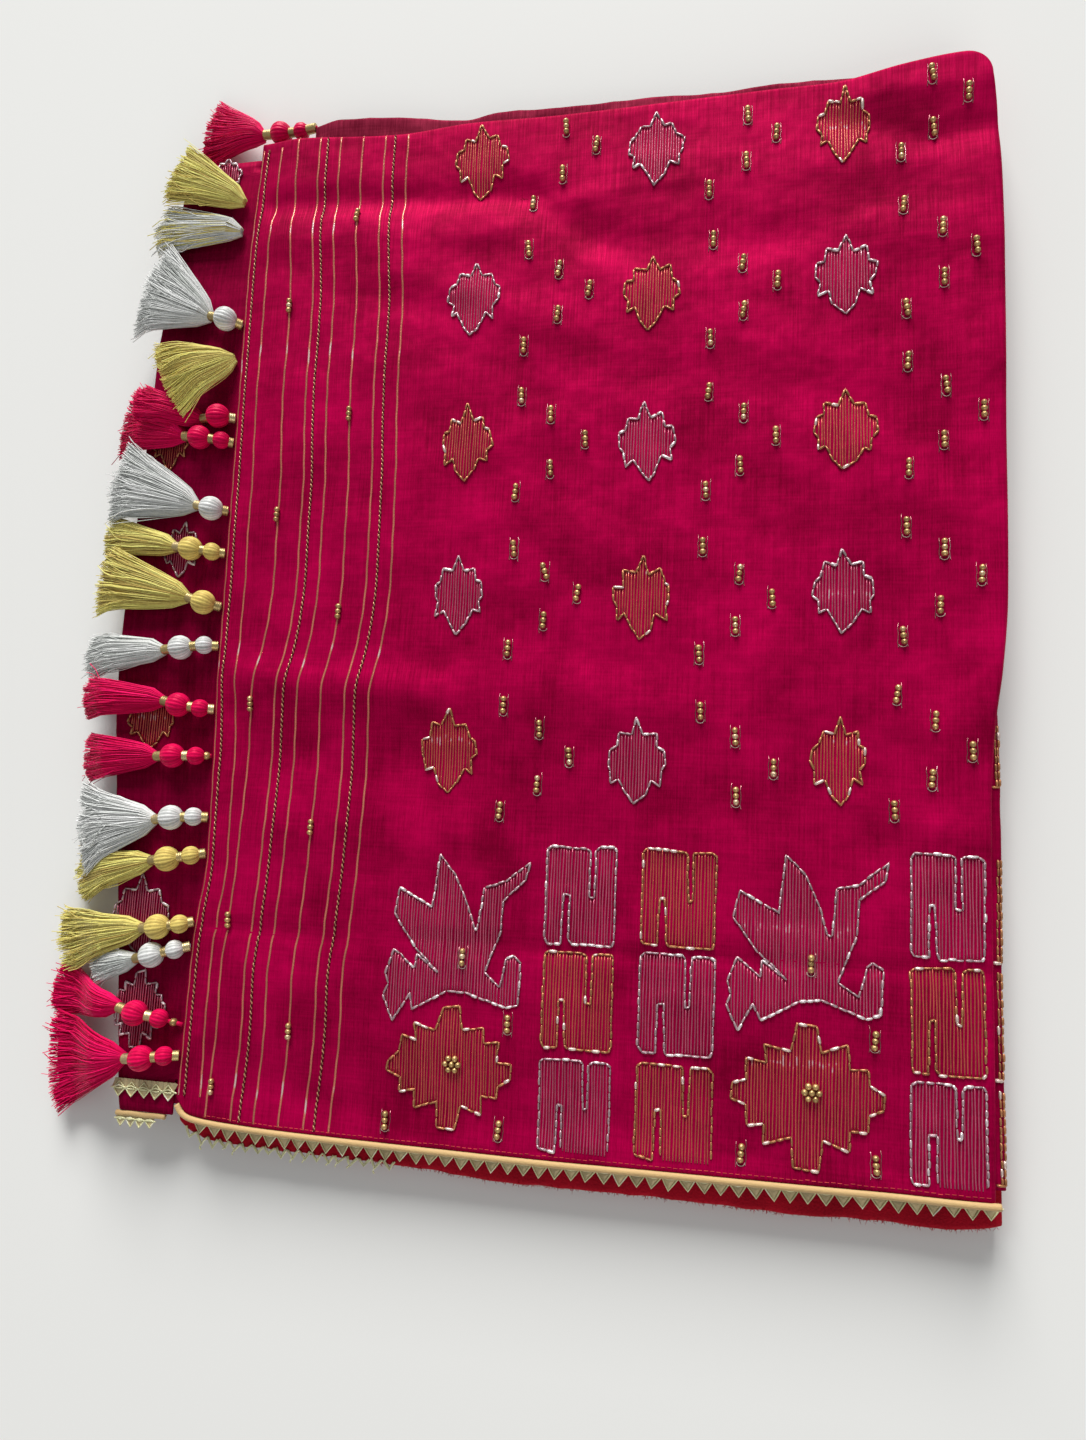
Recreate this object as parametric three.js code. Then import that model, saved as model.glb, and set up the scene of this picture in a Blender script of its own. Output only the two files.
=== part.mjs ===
// A saree folded flat: the top panel with its rolled folds, the stretches that show below it,
// the hidden layers as one layered solid, piped and laced hems, and a row of bead tassels.
// Units are millimetres, +Z is up, the cloth lies on z = 0. X runs across the folded stack
// from the tasselled end (left) to the fold (right), Y from the hem (front) to the top fold.

import * as THREE from 'three';

// ---------------------------------------------------------------- driving sizes

const WALL = 1.2;               // cloth wall
const GAP = 0.3;                // clearance between neighbouring pieces
const TOP = 24;                 // height of the top panel's upper side
const ROLL = 2.8;               // outer radius of the top panel's rolled folds
const CORNER = 11;              // plan radius of the folded corner, inside the roll
const TUCK = 6;                 // how far the cloth runs back under a roll
const PALLU_DROP = 2.9;         // how far the tasselled end sinks onto the stretch below
const PALLU_REACH = 26;
const HEM_DROP = 4.4;           // how far the hem sinks
const HEM_REACH = 17;
const PIPING_RADIUS = 1.85;
const LACE_THICKNESS = 0.8;
const UNDER_TOP = TOP - 2 * ROLL + WALL;   // upper side of the stretch that sticks out left
const TIER_TOP = TOP - 2 * ROLL - GAP;     // upper side of the tier that carries it

const SMALL_BEAD = 5.0;         // radii of the silk-wrapped beads
const BIG_BEAD = 6.8;
const CORD_RADIUS = 1.2;
const COLLAR_RADIUS = 2.6;      // metal collars between beads
const HEAD_RADIUS = 4.8;        // bound head of a thread skirt
const HEAD_LENGTH = 9;
const LOCK_COLUMNS = 6;         // thread locks side by side in a skirt, in two rows
const FAN_HEIGHT = 1.5;         // half the height of the fan of locks where it lies flat
const TIP_HEIGHT = 1.2;         // and at its tips
const BEND_FULLNESS = 0.76;      // how much of its cell a lock fills, where the fan bends and at its tip
const TIP_FULLNESS = 0.5;
const TIER_RISE = 3.4;          // skirts that lie over their neighbours
const DROOP = 0.6;              // fall of the threads past the edge, per millimetre
const FLOOR_CLEARANCE = 2;
const ROUND_SIDES = 8;          // sides of pipings and bead stems

const UNDER_FOLD = 2.6;         // outer radii of the lower layers' folds
const TIER_FOLD = 2.4;
const LINING_FOLD = 3;
const LINING_TOP = 11;
const HEM_LACE_TOP = 16.85;     // upper sides of the laces that stick out of lower layers
const LOWER_LACE_TOP = 12.5;
const EDGE_LACE_TOP = 18.4;
const UNDER_PIPING_RADIUS = 1.5;
const LOW_HEIGHTS = { exit: 15.7, small: 14.5, big: 13.2, head: 12.5, fan: 10, fall: 0.16 };

// ---------------------------------------------------------------- materials

const cloth = (color) => new THREE.MeshStandardMaterial({ color, roughness: 0.6, metalness: 0 });
const metal = (color) => new THREE.MeshStandardMaterial({ color, roughness: 0.35, metalness: 0.8 });
const SILK = cloth(0xb3104f);
const SILK_DARK = cloth(0x7d1038);
const LINING = cloth(0xb80f22);
const PIPING = cloth(0xd9a86c);
const LACE = metal(0xc9a24a);
const THREAD = { red: cloth(0xd01848), gold: cloth(0xc9a944), silver: cloth(0xa9b4b8) };

// ---------------------------------------------------------------- tables

const RIGHT_EDGE = [
  { y: -284, x: 201 }, { y: -237, x: 201.5 }, { y: -149, x: 201.4 }, { y: -102, x: 201.8 },
  { y: -65, x: 204 }, { y: -40, x: 207.5 }, { y: -6, x: 210.4 }, { y: 69, x: 211.2 },
  { y: 202, x: 211.5 }, { y: 255, x: 209.5 }, { y: 285, x: 206 },
];
const LEFT_EDGE = [
  { y: -280, x: -204.8 }, { y: -224, x: -204.3 }, { y: -187, x: -203.5 }, { y: -149, x: -199.5 },
  { y: -95, x: -201.5 }, { y: -38, x: -203.3 }, { y: 67, x: -204.8 }, { y: 165, x: -206.2 },
  { y: 209, x: -206.4 }, { y: 280, x: -203.3 },
];
const BACK_EDGE = [
  { x: -206, y: 280 }, { x: -179, y: 280 }, { x: -116, y: 275.5 }, { x: -73, y: 278 },
  { x: -21, y: 277 }, { x: 95, y: 279 }, { x: 136, y: 279.5 }, { x: 164, y: 284 },
  { x: 191, y: 287 }, { x: 209, y: 286 },
];
const PIPING_LINE = [
  { x: -204.6, y: -278.2 }, { x: -202, y: -281.8 }, { x: -196, y: -284.4 }, { x: -179, y: -286.3 },
  { x: -156, y: -287.4 }, { x: -112, y: -287.8 }, { x: -60, y: -287.8 }, { x: -7, y: -287.7 },
  { x: 50, y: -286.8 }, { x: 107, y: -286 }, { x: 160, y: -285 }, { x: 204, y: -284 },
];
const UNDER_LEFT_EDGE = [
  { y: -284, x: -240 }, { y: -276, x: -241.5 }, { y: -180, x: -252.5 }, { y: -72, x: -265.9 },
  { y: -21, x: -267.8 }, { y: 60, x: -265 }, { y: 147, x: -262.6 }, { y: 200, x: -260 },
  { y: 245, x: -256 }, { y: 256, x: -254 }, { y: 270, x: -247 },
];
const UNDER_BACK_EDGE = [
  { x: -171.6, y: 291 }, { x: -158, y: 294.4 }, { x: -119, y: 291.5 }, { x: -94, y: 287.4 },
  { x: -76, y: 285 }, { x: -58, y: 288 }, { x: -22, y: 286.7 }, { x: 29, y: 286.9 },
  { x: 68, y: 285.4 }, { x: 100, y: 286.9 }, { x: 137, y: 285.4 }, { x: 176, y: 282 },
];
const SECOND_FOLD_EDGE = [
  { y: -278, x: 206.8 }, { y: -237, x: 206.6 }, { y: -193, x: 206.2 }, { y: -149, x: 206.8 },
  { y: -102, x: 207 }, { y: -65, x: 206.4 }, { y: -20, x: 204 }, { y: 60, x: 202 },
  { y: 190, x: 200 },
];
const LINING_EDGE = [
  { x: -126, y: -292 }, { x: -112, y: -298.5 }, { x: -70, y: -300.6 }, { x: -28, y: -302.6 },
  { x: 20, y: -301.8 }, { x: 70, y: -301.4 }, { x: 108, y: -301.9 }, { x: 150, y: -300.4 },
  { x: 190, y: -300.2 }, { x: 206, y: -296.6 },
];

// Creases of the top panel: a soft line from (x1, y1) to (x2, y2), its half-width and its rise.
const CREASES = [
  { x1: -215, y1: 239, x2: -30, y2: 231, half: 9, rise: -1.5 },
  { x1: -30, y1: 231, x2: 120, y2: 246, half: 12, rise: -1.0 },
  { x1: -215, y1: 216, x2: -60, y2: 208, half: 11, rise: 1.1 },
  { x1: 140, y1: 257, x2: 178, y2: 241, half: 6, rise: -1.2 },
  { x1: 178, y1: 241, x2: 214, y2: 252, half: 6, rise: -1.2 },
  { x1: 158, y1: 268, x2: 200, y2: 266, half: 12, rise: 1.6 },
  { x1: -215, y1: -46, x2: -85, y2: -55, half: 10, rise: 1.3 },
  { x1: -215, y1: -70, x2: -95, y2: -76, half: 9, rise: -0.9 },
  { x1: -207, y1: -184, x2: 210, y2: -184, half: 3.5, rise: -0.7 },
  { x1: -84, y1: -90, x2: -70, y2: -150, half: 9, rise: -1.1 },
  { x1: 182, y1: 40, x2: 190, y2: -60, half: 9, rise: 1.2 },
  { x1: 168, y1: 20, x2: 172, y2: -80, half: 8, rise: -0.9 },
  { x1: -110, y1: 190, x2: -20, y2: 150, half: 12, rise: 0.9 },
];

// Tiers of the hidden layers from the floor up: the height of a tier's upper side and where
// its edge lies on each side. The wave is how far the edge wanders.
const TIERS = [
  { top: 2.3, left: -255, right: 201, front: -280, back: 273, wave: 0.8 },
  { top: 4.7, left: -258, right: 203, front: -282, back: 275, wave: 0.7 },
  { top: 8.0, left: -260, right: 202, front: -271.7, back: 276, wave: 0 },
  { top: 11.3, left: -257, right: 203, front: -271.7, back: 274, wave: 0 },
  { top: 13.0, left: -259, right: 202, front: -280.5, back: 275, wave: 0.5 },
  { top: TIER_TOP, left: -253.2, right: 179.7, front: -279, back: 263.7, wave: 0 },
  { top: 19.9, left: -186, right: 178, front: -262, back: 262, wave: 0 },
];

// Tassels: where the cord leaves the cloth, the bead centres, the neck of the skirt, the middle
// of its far end and half its width there. The tier lifts a skirt over its neighbours.
const TASSELS = [
  { thread: 'red', exit: [-172.2, 291.5], small: [-183, 291], big: [-197, 292], neck: [-209, 293],
    end: [-252, 301], half: 18, tier: 0, low: true },
  { thread: 'gold', exit: [-206.9, 239.5], neck: [-212, 241], end: [-260, 263], half: 15, tier: 1 },
  { thread: 'silver', exit: [-207, 221.5], neck: [-212, 222], end: [-270, 229], half: 13, tier: 0 },
  { thread: 'silver', exit: [-206.7, 163], big: [-215, 164.5], neck: [-226.5, 168], end: [-271, 190],
    half: 25, tier: 1 },
  { thread: 'gold', exit: [-206.5, 145], neck: [-209, 142], end: [-246, 122], half: 21, tier: 3.2 },
  { thread: 'red', exit: [-205.7, 90], small: [-211.5, 90.5], big: [-224.5, 92], neck: [-236, 94],
    end: [-283, 108], half: 18, tier: 0 },
  { thread: 'red', exit: [-205.9, 105], big: [-214, 104.5], neck: [-225, 104], end: [-265, 113],
    half: 8, tier: 2.3 },
  { thread: 'silver', exit: [-205.2, 49], big: [-213, 49], neck: [-224, 52], end: [-282, 70],
    half: 21, tier: 1 },
  { thread: 'gold', exit: [-204.9, 24], small: [-211, 24], big: [-223.5, 25.5], neck: [-235, 27.5],
    end: [-289, 37], half: 10, tier: 0 },
  { thread: 'gold', exit: [-204.3, -7.5], big: [-212.5, -6], neck: [-224, -2.5], end: [-286, 11],
    half: 17, tier: 1 },
  { thread: 'silver', exit: [-203.7, -30], small: [-210.5, -30.2], big: [-224, -32], neck: [-236, -33],
    end: [-295, -36], half: 11, tier: 0 },
  { thread: 'red', exit: [-202.9, -66], small: [-209.5, -66], big: [-222, -64.5], neck: [-233, -62],
    end: [-289, -60], half: 10, tier: 1 },
  { thread: 'red', exit: [-202.1, -92], small: [-209.5, -92.6], big: [-222.5, -93], neck: [-234.5, -93.5],
    end: [-288, -94], half: 12, tier: 0 },
  { thread: 'silver', exit: [-200.9, -126], small: [-207.5, -126], big: [-220, -127], neck: [-231.5, -128.5],
    end: [-284, -135], half: 21, tier: 1 },
  { thread: 'gold', exit: [-200.3, -145.5], small: [-207, -147], big: [-220, -149.5], neck: [-231.5, -151],
    end: [-288, -164], half: 11, tier: 0 },
  { thread: 'gold', exit: [-203.9, -182.5], small: [-210, -184], big: [-222, -186], neck: [-233, -187.5],
    end: [-294, -199], half: 15, tier: 1 },
  { thread: 'silver', exit: [-204.5, -195.5], small: [-211.5, -197.5], big: [-224, -201], neck: [-235, -204],
    end: [-266, -212], half: 7, tier: 0 },
  { thread: 'red', exit: [-205.1, -237], small: [-217, -234], big: [-230.5, -232], neck: [-242.5, -230],
    end: [-297, -226], half: 11, tier: 0 },
  { thread: 'red', exit: [-205.3, -253], small: [-212, -253], big: [-224.5, -255], neck: [-236, -256.5],
    end: [-292, -264], half: 25, tier: 1 },
];

// ---------------------------------------------------------------- general helpers

const smooth = (t) => { const c = Math.min(1, Math.max(0, t)); return c * c * (3 - 2 * c); };
const mix = (a, b, t) => a + (b - a) * t;
const spot = ([x, y], z) => new THREE.Vector3(x, y, z);

// A smooth value read from a table's named columns.
function along(table, from, to, at) {
  const last = table.length - 1;
  if (at <= table[0][from]) return table[0][to];
  if (at >= table[last][from]) return table[last][to];
  let i = 0;
  while (table[i + 1][from] < at) i += 1;
  const slope = (k) => {
    const a = table[Math.max(0, k - 1)], b = table[Math.min(last, k + 1)];
    return (b[to] - a[to]) / (b[from] - a[from]);
  };
  const span = table[i + 1][from] - table[i][from];
  const t = (at - table[i][from]) / span;
  const rise = table[i + 1][to] - table[i][to];
  const m0 = slope(i) * span, m1 = slope(i + 1) * span;
  return table[i][to] + m0 * t + (3 * rise - 2 * m0 - m1) * t * t + (m0 + m1 - 2 * rise) * t ** 3;
}

// One closed body from points and triangles, turned so that its faces point out.
function closedMesh(name, points, faces, material) {
  let volume = 0;
  for (const [a, b, c] of faces) volume += points[a].dot(points[b].clone().cross(points[c]));
  const turned = volume < 0 ? faces.map(([a, b, c]) => [a, c, b]) : faces;
  const geometry = new THREE.BufferGeometry().setFromPoints(points);
  geometry.setIndex(turned.flat());
  geometry.computeVertexNormals();
  const mesh = new THREE.Mesh(geometry, material);
  mesh.name = name;
  return mesh;
}

// Triangles that fill a flat ring of points; start is the ring's first index.
function capFaces(ring, start, flip) {
  const normal = new THREE.Vector3();
  ring.forEach((p, i) => normal.add(p.clone().cross(ring[(i + 1) % ring.length])));
  normal.normalize();
  const across = ring[1].clone().sub(ring[0]).normalize();
  const up = normal.clone().cross(across);
  const flat = ring.map((p) => new THREE.Vector2(p.dot(across), p.dot(up)));
  return THREE.ShapeUtils.triangulateShape(flat, [])
    .map(([a, b, c]) => (flip ? [a + start, c + start, b + start] : [a + start, b + start, c + start]));
}

// A closed body lofted through rings that have the same number of points.
function loft(name, rings, material) {
  const n = rings[0].length;
  const points = rings.flat();
  const faces = [];
  for (let r = 0; r + 1 < rings.length; r += 1) {
    for (let i = 0; i < n; i += 1) {
      const a = r * n + i, b = r * n + (i + 1) % n;
      faces.push([a, b, b + n], [a, b + n, a + n]);
    }
  }
  faces.push(...capFaces(rings[0], 0, true));
  faces.push(...capFaces(rings.at(-1), (rings.length - 1) * n, false));
  return closedMesh(name, points, faces, material);
}

// A closed body between two grids of points, the outer and the inner side of a cloth wall.
function sheet(name, outer, inner, material) {
  const rows = outer.length, cols = outer[0].length;
  const points = [...outer.flat(), ...inner.flat()];
  const half = rows * cols;
  const at = (j, i) => j * cols + i;
  const faces = [];
  for (let j = 0; j + 1 < rows; j += 1) {
    for (let i = 0; i + 1 < cols; i += 1) {
      const a = at(j, i), b = at(j, i + 1), c = at(j + 1, i + 1), d = at(j + 1, i);
      faces.push([a, b, c], [a, c, d]);
      faces.push([a + half, c + half, b + half], [a + half, d + half, c + half]);
    }
  }
  const rim = [];
  for (let i = 0; i < cols - 1; i += 1) rim.push(at(0, i));
  for (let j = 0; j < rows - 1; j += 1) rim.push(at(j, cols - 1));
  for (let i = cols - 1; i > 0; i -= 1) rim.push(at(rows - 1, i));
  for (let j = rows - 1; j > 0; j -= 1) rim.push(at(j, 0));
  rim.forEach((a, k) => {
    const b = rim[(k + 1) % rim.length];
    faces.push([a, a + half, b + half], [a, b + half, b]);
  });
  return closedMesh(name, points, faces, material);
}

const evenTurns = (sides) => Array.from({ length: sides }, (_, i) => (2 * Math.PI * i) / sides);

// Rings of a round body whose radius changes along a path of stations { p, r }, each square to
// the path or to its own facing. The turns are the angles of a ring's points.
function roundRings(stations, turns) {
  return stations.map(({ p, r, facing }, k) => {
    const before = stations[Math.max(0, k - 1)].p;
    const after = stations[Math.min(stations.length - 1, k + 1)].p;
    const forward = facing ?? after.clone().sub(before).normalize();
    const side = new THREE.Vector3(0, 0, 1).cross(forward).normalize();
    const up = forward.clone().cross(side);
    return turns.map((turn) => (
      p.clone().addScaledVector(side, r * Math.cos(turn)).addScaledVector(up, r * Math.sin(turn))));
  });
}

// ---------------------------------------------------------------- top panel

// How far a crease lifts or sinks the cloth at a point.
function creaseRise(crease, x, y) {
  const dx = crease.x2 - crease.x1, dy = crease.y2 - crease.y1;
  const length = Math.hypot(dx, dy);
  const t = ((x - crease.x1) * dx + (y - crease.y1) * dy) / length;
  const off = ((x - crease.x1) * dy - (y - crease.y1) * dx) / length;
  const past = Math.max(0, -t, t - length);
  return crease.rise * Math.exp(-((off * off) / crease.half ** 2) - (past / (2 * crease.half)) ** 2);
}

const pipingY = (x) => along(PIPING_LINE, 'x', 'y', x);
const hemY = (x) => pipingY(x) + (x < -200 ? 3.6 : PIPING_RADIUS + GAP);

function hemDrop(x, y) {
  const right = mix(HEM_DROP, 1.1, smooth((x - 150) / 45));
  const depth = mix(PALLU_DROP, right, smooth((x + 188) / 24));
  return depth * (1 - smooth((y - hemY(x)) / HEM_REACH));
}

function palluDrop(x, y) {
  return PALLU_DROP * (1 - smooth((x - along(LEFT_EDGE, 'y', 'x', y)) / PALLU_REACH));
}

function panelHeight(x, y) {
  const settle = Math.min(1, Math.max(0, (y - hemY(x)) / 10), Math.max(0, (x + 204) / 10));
  const creases = CREASES.reduce((sum, crease) => sum + creaseRise(crease, x, y), 0);
  return TOP + creases * settle - Math.max(hemDrop(x, y), palluDrop(x, y));
}

const PANEL_COLUMNS = [-205, -194, -180, -160, -136, -108, -86, -66, -40, -10, 24, 60, 96, 130, 150, 166,
  180, 195];
const PANEL_ROWS = [-282, -276, -268, -256, -230, -206, -190, -184, -178, -160, -130, -104, -84, -70, -56,
  -44, -30, -4, 28, 62, 96, 126, 150, 172, 192, 206, 218, 228, 238, 248, 257, 265, 273];

// Distance from the inner corner line and fall below the top, at each step over a rolled fold.
const ROLL_STEPS = [{ out: CORNER, fall: 0 }];
for (const turn of [45, 90, 135, 180]) {
  const a = THREE.MathUtils.degToRad(turn);
  ROLL_STEPS.push({ out: CORNER + ROLL * Math.sin(a), fall: (1 - Math.cos(a)) / 2 });
}
ROLL_STEPS.push({ out: CORNER - TUCK, fall: 1 });

function panelPoint(column, row) {
  const c = Math.min(column, PANEL_COLUMNS.length - 1);
  const r = Math.min(row, PANEL_ROWS.length - 1);
  const u = (PANEL_COLUMNS[c] - PANEL_COLUMNS[0]) / (PANEL_COLUMNS.at(-1) - PANEL_COLUMNS[0]);
  const v = (PANEL_ROWS[r] - PANEL_ROWS[0]) / (PANEL_ROWS.at(-1) - PANEL_ROWS[0]);
  const left = along(LEFT_EDGE, 'y', 'x', PANEL_ROWS[r]);
  const right = along(RIGHT_EDGE, 'y', 'x', PANEL_ROWS[r]) - ROLL - CORNER;
  const x = mix(left, right, u);
  const back = along(BACK_EDGE, 'x', 'y', x) - ROLL - CORNER;
  const y = mix(hemY(x), back, v);
  const z = panelHeight(x, y);
  const overX = column - c, overY = row - r;
  const over = Math.max(overX, overY);
  if (over === 0) return new THREE.Vector3(x, y, z);
  const quarter = Math.PI / 4;
  const turn = overY <= overX ? quarter * (overY / overX) : 2 * quarter - quarter * (overX / overY);
  const { out, fall } = ROLL_STEPS[over - 1];
  const lowest = TOP - 2 * ROLL;
  return new THREE.Vector3(x + out * Math.cos(turn), y + out * Math.sin(turn), mix(z, lowest, fall));
}

function topStretch() {
  const columns = PANEL_COLUMNS.length + ROLL_STEPS.length;
  const rows = PANEL_ROWS.length + ROLL_STEPS.length;
  const outer = Array.from({ length: rows },
    (_, j) => Array.from({ length: columns }, (__, i) => panelPoint(i, j)));
  const inner = outer.map((line, j) => line.map((p, i) => {
    const east = line[Math.min(columns - 1, i + 1)].clone().sub(line[Math.max(0, i - 1)]);
    const north = outer[Math.min(rows - 1, j + 1)][i].clone().sub(outer[Math.max(0, j - 1)][i]);
    return p.clone().addScaledVector(east.cross(north).normalize(), -WALL);
  }));
  return sheet('top_stretch', outer, inner, SILK);
}

// ---------------------------------------------------------------- folded edges of lower layers

// A fold seen from its end: two legs joined by a round turn. The edge says where the turn
// reaches, upper and lower say where the legs end, all measured across the fold.
function foldSection({ edge, upper, lower, top, radius }) {
  const inward = Math.sign(upper - edge);
  const centre = edge + inward * radius;
  const arc = (r, turns) => turns.map((degrees) => {
    const a = THREE.MathUtils.degToRad(degrees);
    return [centre - inward * r * Math.cos(a), top - radius + r * Math.sin(a)];
  });
  const turns = [90, 45, 0, -45, -90];
  return [
    [upper, top], ...arc(radius, turns), [lower, top - 2 * radius],
    [lower, top - 2 * radius + WALL], ...arc(radius - WALL, turns.slice().reverse()), [upper, top - WALL],
  ];
}

// A folded strip along X or Y, with its section at each station.
function foldStrip(name, stations, axis, material) {
  const rings = stations.map(({ at, ...section }) => foldSection(section).map(([across, z]) => (
    axis === 'x' ? new THREE.Vector3(at, across, z) : new THREE.Vector3(across, at, z))));
  return loft(name, rings, material);
}

const underLeftX = (y) => along(UNDER_LEFT_EDGE, 'y', 'x', y);

function underStretchLeft() {
  const stations = [-284, -267, -262, -220, -170, -120, -72, -21, 40, 100, 147, 200, 240, 254, 258, 270]
    .map((y) => ({
      at: y, edge: underLeftX(y), lower: underLeftX(y) + 12,
      upper: y > 256 || y < -264 ? -209 : -189, top: UNDER_TOP, radius: UNDER_FOLD,
    }));
  return foldStrip('under_stretch_left', stations, 'y', SILK);
}

function underStretchTop() {
  const stations = UNDER_BACK_EDGE.map(({ x, y }) => (
    { at: x, edge: y, upper: 264, lower: 264, top: TIER_TOP, radius: TIER_FOLD }));
  return foldStrip('under_stretch_top', stations, 'x', SILK_DARK);
}

function foldRight() {
  const stations = SECOND_FOLD_EDGE.map(({ x, y }) => (
    { at: y, edge: x, upper: 180, lower: 180, top: TIER_TOP, radius: TIER_FOLD }));
  return foldStrip('fold_right', stations, 'y', SILK);
}

function liningStrip() {
  const stations = LINING_EDGE.map(({ x, y }) => (
    { at: x, edge: y, upper: -272, lower: -272, top: LINING_TOP, radius: LINING_FOLD }));
  return foldStrip('lining_strip', stations, 'x', LINING);
}

// ---------------------------------------------------------------- hidden layers

const STACK_CORNER = 16;
const SIDE_STEPS = 7;
const CORNER_STEPS = 3;

// One level line of the stack: a rectangle with round corners, set in by an amount.
function stackRing(tier, z, inset, tierIndex) {
  const left = tier.left + inset, right = tier.right - inset;
  const front = tier.front + inset, back = tier.back - inset;
  const corners = [
    { x: right - STACK_CORNER, y: front + STACK_CORNER, from: -90 },
    { x: right - STACK_CORNER, y: back - STACK_CORNER, from: 0 },
    { x: left + STACK_CORNER, y: back - STACK_CORNER, from: 90 },
    { x: left + STACK_CORNER, y: front + STACK_CORNER, from: 180 },
  ];
  const line = [];
  corners.forEach((corner, k) => {
    for (let i = 0; i <= CORNER_STEPS; i += 1) {
      const a = THREE.MathUtils.degToRad(corner.from + (90 * i) / CORNER_STEPS);
      line.push([corner.x + STACK_CORNER * Math.cos(a), corner.y + STACK_CORNER * Math.sin(a)]);
    }
    const a = line.at(-1);
    const next = corners[(k + 1) % corners.length];
    const start = THREE.MathUtils.degToRad(next.from);
    const b = [next.x + STACK_CORNER * Math.cos(start), next.y + STACK_CORNER * Math.sin(start)];
    const out = [Math.cos(start), Math.sin(start)];
    for (let i = 1; i < SIDE_STEPS; i += 1) {
      const wander = tier.wave * Math.sin(1.7 * i + 2.3 * k + 1.9 * tierIndex);
      line.push([mix(a[0], b[0], i / SIDE_STEPS) + wander * out[0],
        mix(a[1], b[1], i / SIDE_STEPS) + wander * out[1]]);
    }
  });
  // The left side follows the edge of the stretch that sticks out above it.
  return line.map(([x, y]) => {
    const share = Math.min(1, Math.max(0, (-150 - x) / 80));
    return new THREE.Vector3(x + share * (underLeftX(y) + 266), y, z);
  });
}

function hiddenLayers() {
  const groove = 1.4;             // how deep the line between two tiers is
  const rings = [];
  let floor = 0;
  TIERS.forEach((tier, k) => {
    const height = tier.top - floor;
    rings.push(stackRing(tier, floor + (k ? 0.05 : 0), groove, k));
    rings.push(stackRing(tier, floor + 0.3 * height, 0, k));
    rings.push(stackRing(tier, floor + 0.7 * height, 0, k));
    rings.push(stackRing(tier, tier.top - (k + 1 < TIERS.length ? 0.05 : 0), groove, k));
    floor = tier.top;
  });
  return loft('hidden_layers', rings, SILK_DARK);
}

// ---------------------------------------------------------------- piping and lace

function piping(name, path, radius, steps, material) {
  const curve = new THREE.CatmullRomCurve3(path);
  const stations = curve.getPoints(steps).map((p) => ({ p, r: radius }));
  return loft(name, roundRings(stations, evenTurns(ROUND_SIDES)), material);
}

function hemPiping() {
  const z = (x, y) => panelHeight(x, Math.max(y, hemY(x))) - WALL / 2;
  const path = PIPING_LINE.map(({ x, y }) => new THREE.Vector3(x, y, z(x, y)));
  return piping('hem_piping', path, PIPING_RADIUS, 44, PIPING);
}

// A flat lace band with pointed teeth, from x0 to x1; line gives its upper edge.
function lace(name, { x0, x1, line, band, tooth, pitch, top }, material) {
  const teeth = Math.round((x1 - x0) / pitch);
  const step = (x1 - x0) / teeth;
  const places = Array.from({ length: teeth + 1 }, (_, k) => x0 + k * step);
  const back = places.map((x) => [x, line(x)]);
  const valleys = places.map((x) => [x, line(x) - band]);
  const tips = places.slice(0, -1).map((x) => [x + step / 2, line(x + step / 2) - band - tooth]);
  const flat = [...back, ...valleys, ...tips];
  const count = flat.length;
  const points = [top - LACE_THICKNESS, top].flatMap((z) => flat.map((p) => spot(p, z)));
  const valley = (k) => places.length + k, tip = (k) => 2 * places.length + k;
  const faces = [];
  for (let k = 0; k < teeth; k += 1) {
    const corners = [[valley(k), valley(k + 1), k + 1], [valley(k), k + 1, k],
      [valley(k), tip(k), valley(k + 1)]];
    for (const [a, b, c] of corners) faces.push([a, c, b], [a + count, b + count, c + count]);
  }
  const rim = [];
  for (let k = 0; k < teeth; k += 1) rim.push(valley(k), tip(k));
  rim.push(valley(teeth));
  for (let k = teeth; k >= 0; k -= 1) rim.push(k);
  rim.forEach((a, k) => {
    const b = rim[(k + 1) % rim.length];
    faces.push([a, b, b + count], [a, b + count, a + count]);
  });
  return closedMesh(name, points, faces, material);
}

function laces() {
  return [
    lace('hem_lace', { x0: -196, x1: 204, line: (x) => pipingY(x) - 0.5, band: 1.7, tooth: 5.6, pitch: 8,
      top: HEM_LACE_TOP }, LACE),
    lace('lower_lace', { x0: -198, x1: -100, line: () => -285, band: 12.6, tooth: 4.2, pitch: 7,
      top: LOWER_LACE_TOP }, LACE),
    lace('under_lace', { x0: -243, x1: -206.2, line: () => -268, band: 4.5, tooth: 4.5, pitch: 7.4,
      top: UNDER_TOP + GAP + LACE_THICKNESS }, LACE),
    lace('under_edge_lace', { x0: -241, x1: -218, line: () => -287.6, band: 1.2, tooth: 4, pitch: 5.6,
      top: EDGE_LACE_TOP }, LACE),
  ];
}

function underPiping() {
  const y = UNDER_LEFT_EDGE[0].y - GAP - UNDER_PIPING_RADIUS;
  const path = [-241, -232, -222, -212].map((x) => spot([x, y], UNDER_TOP - WALL));
  return piping('under_piping', path, UNDER_PIPING_RADIUS, 8, PIPING);
}

// ---------------------------------------------------------------- tassels

// Height of the surface that threads lie on: the stretch below, and past its edge a fall.
function supportHeight(x, y) {
  const edge = underLeftX(y) - 4;
  return Math.max(FLOOR_CLEARANCE, UNDER_TOP + GAP - Math.max(0, edge - x) * DROOP);
}

const restHeight = (tassel, radius, lowHeight) => (tassel.low ? lowHeight : UNDER_TOP + GAP + radius);

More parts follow.
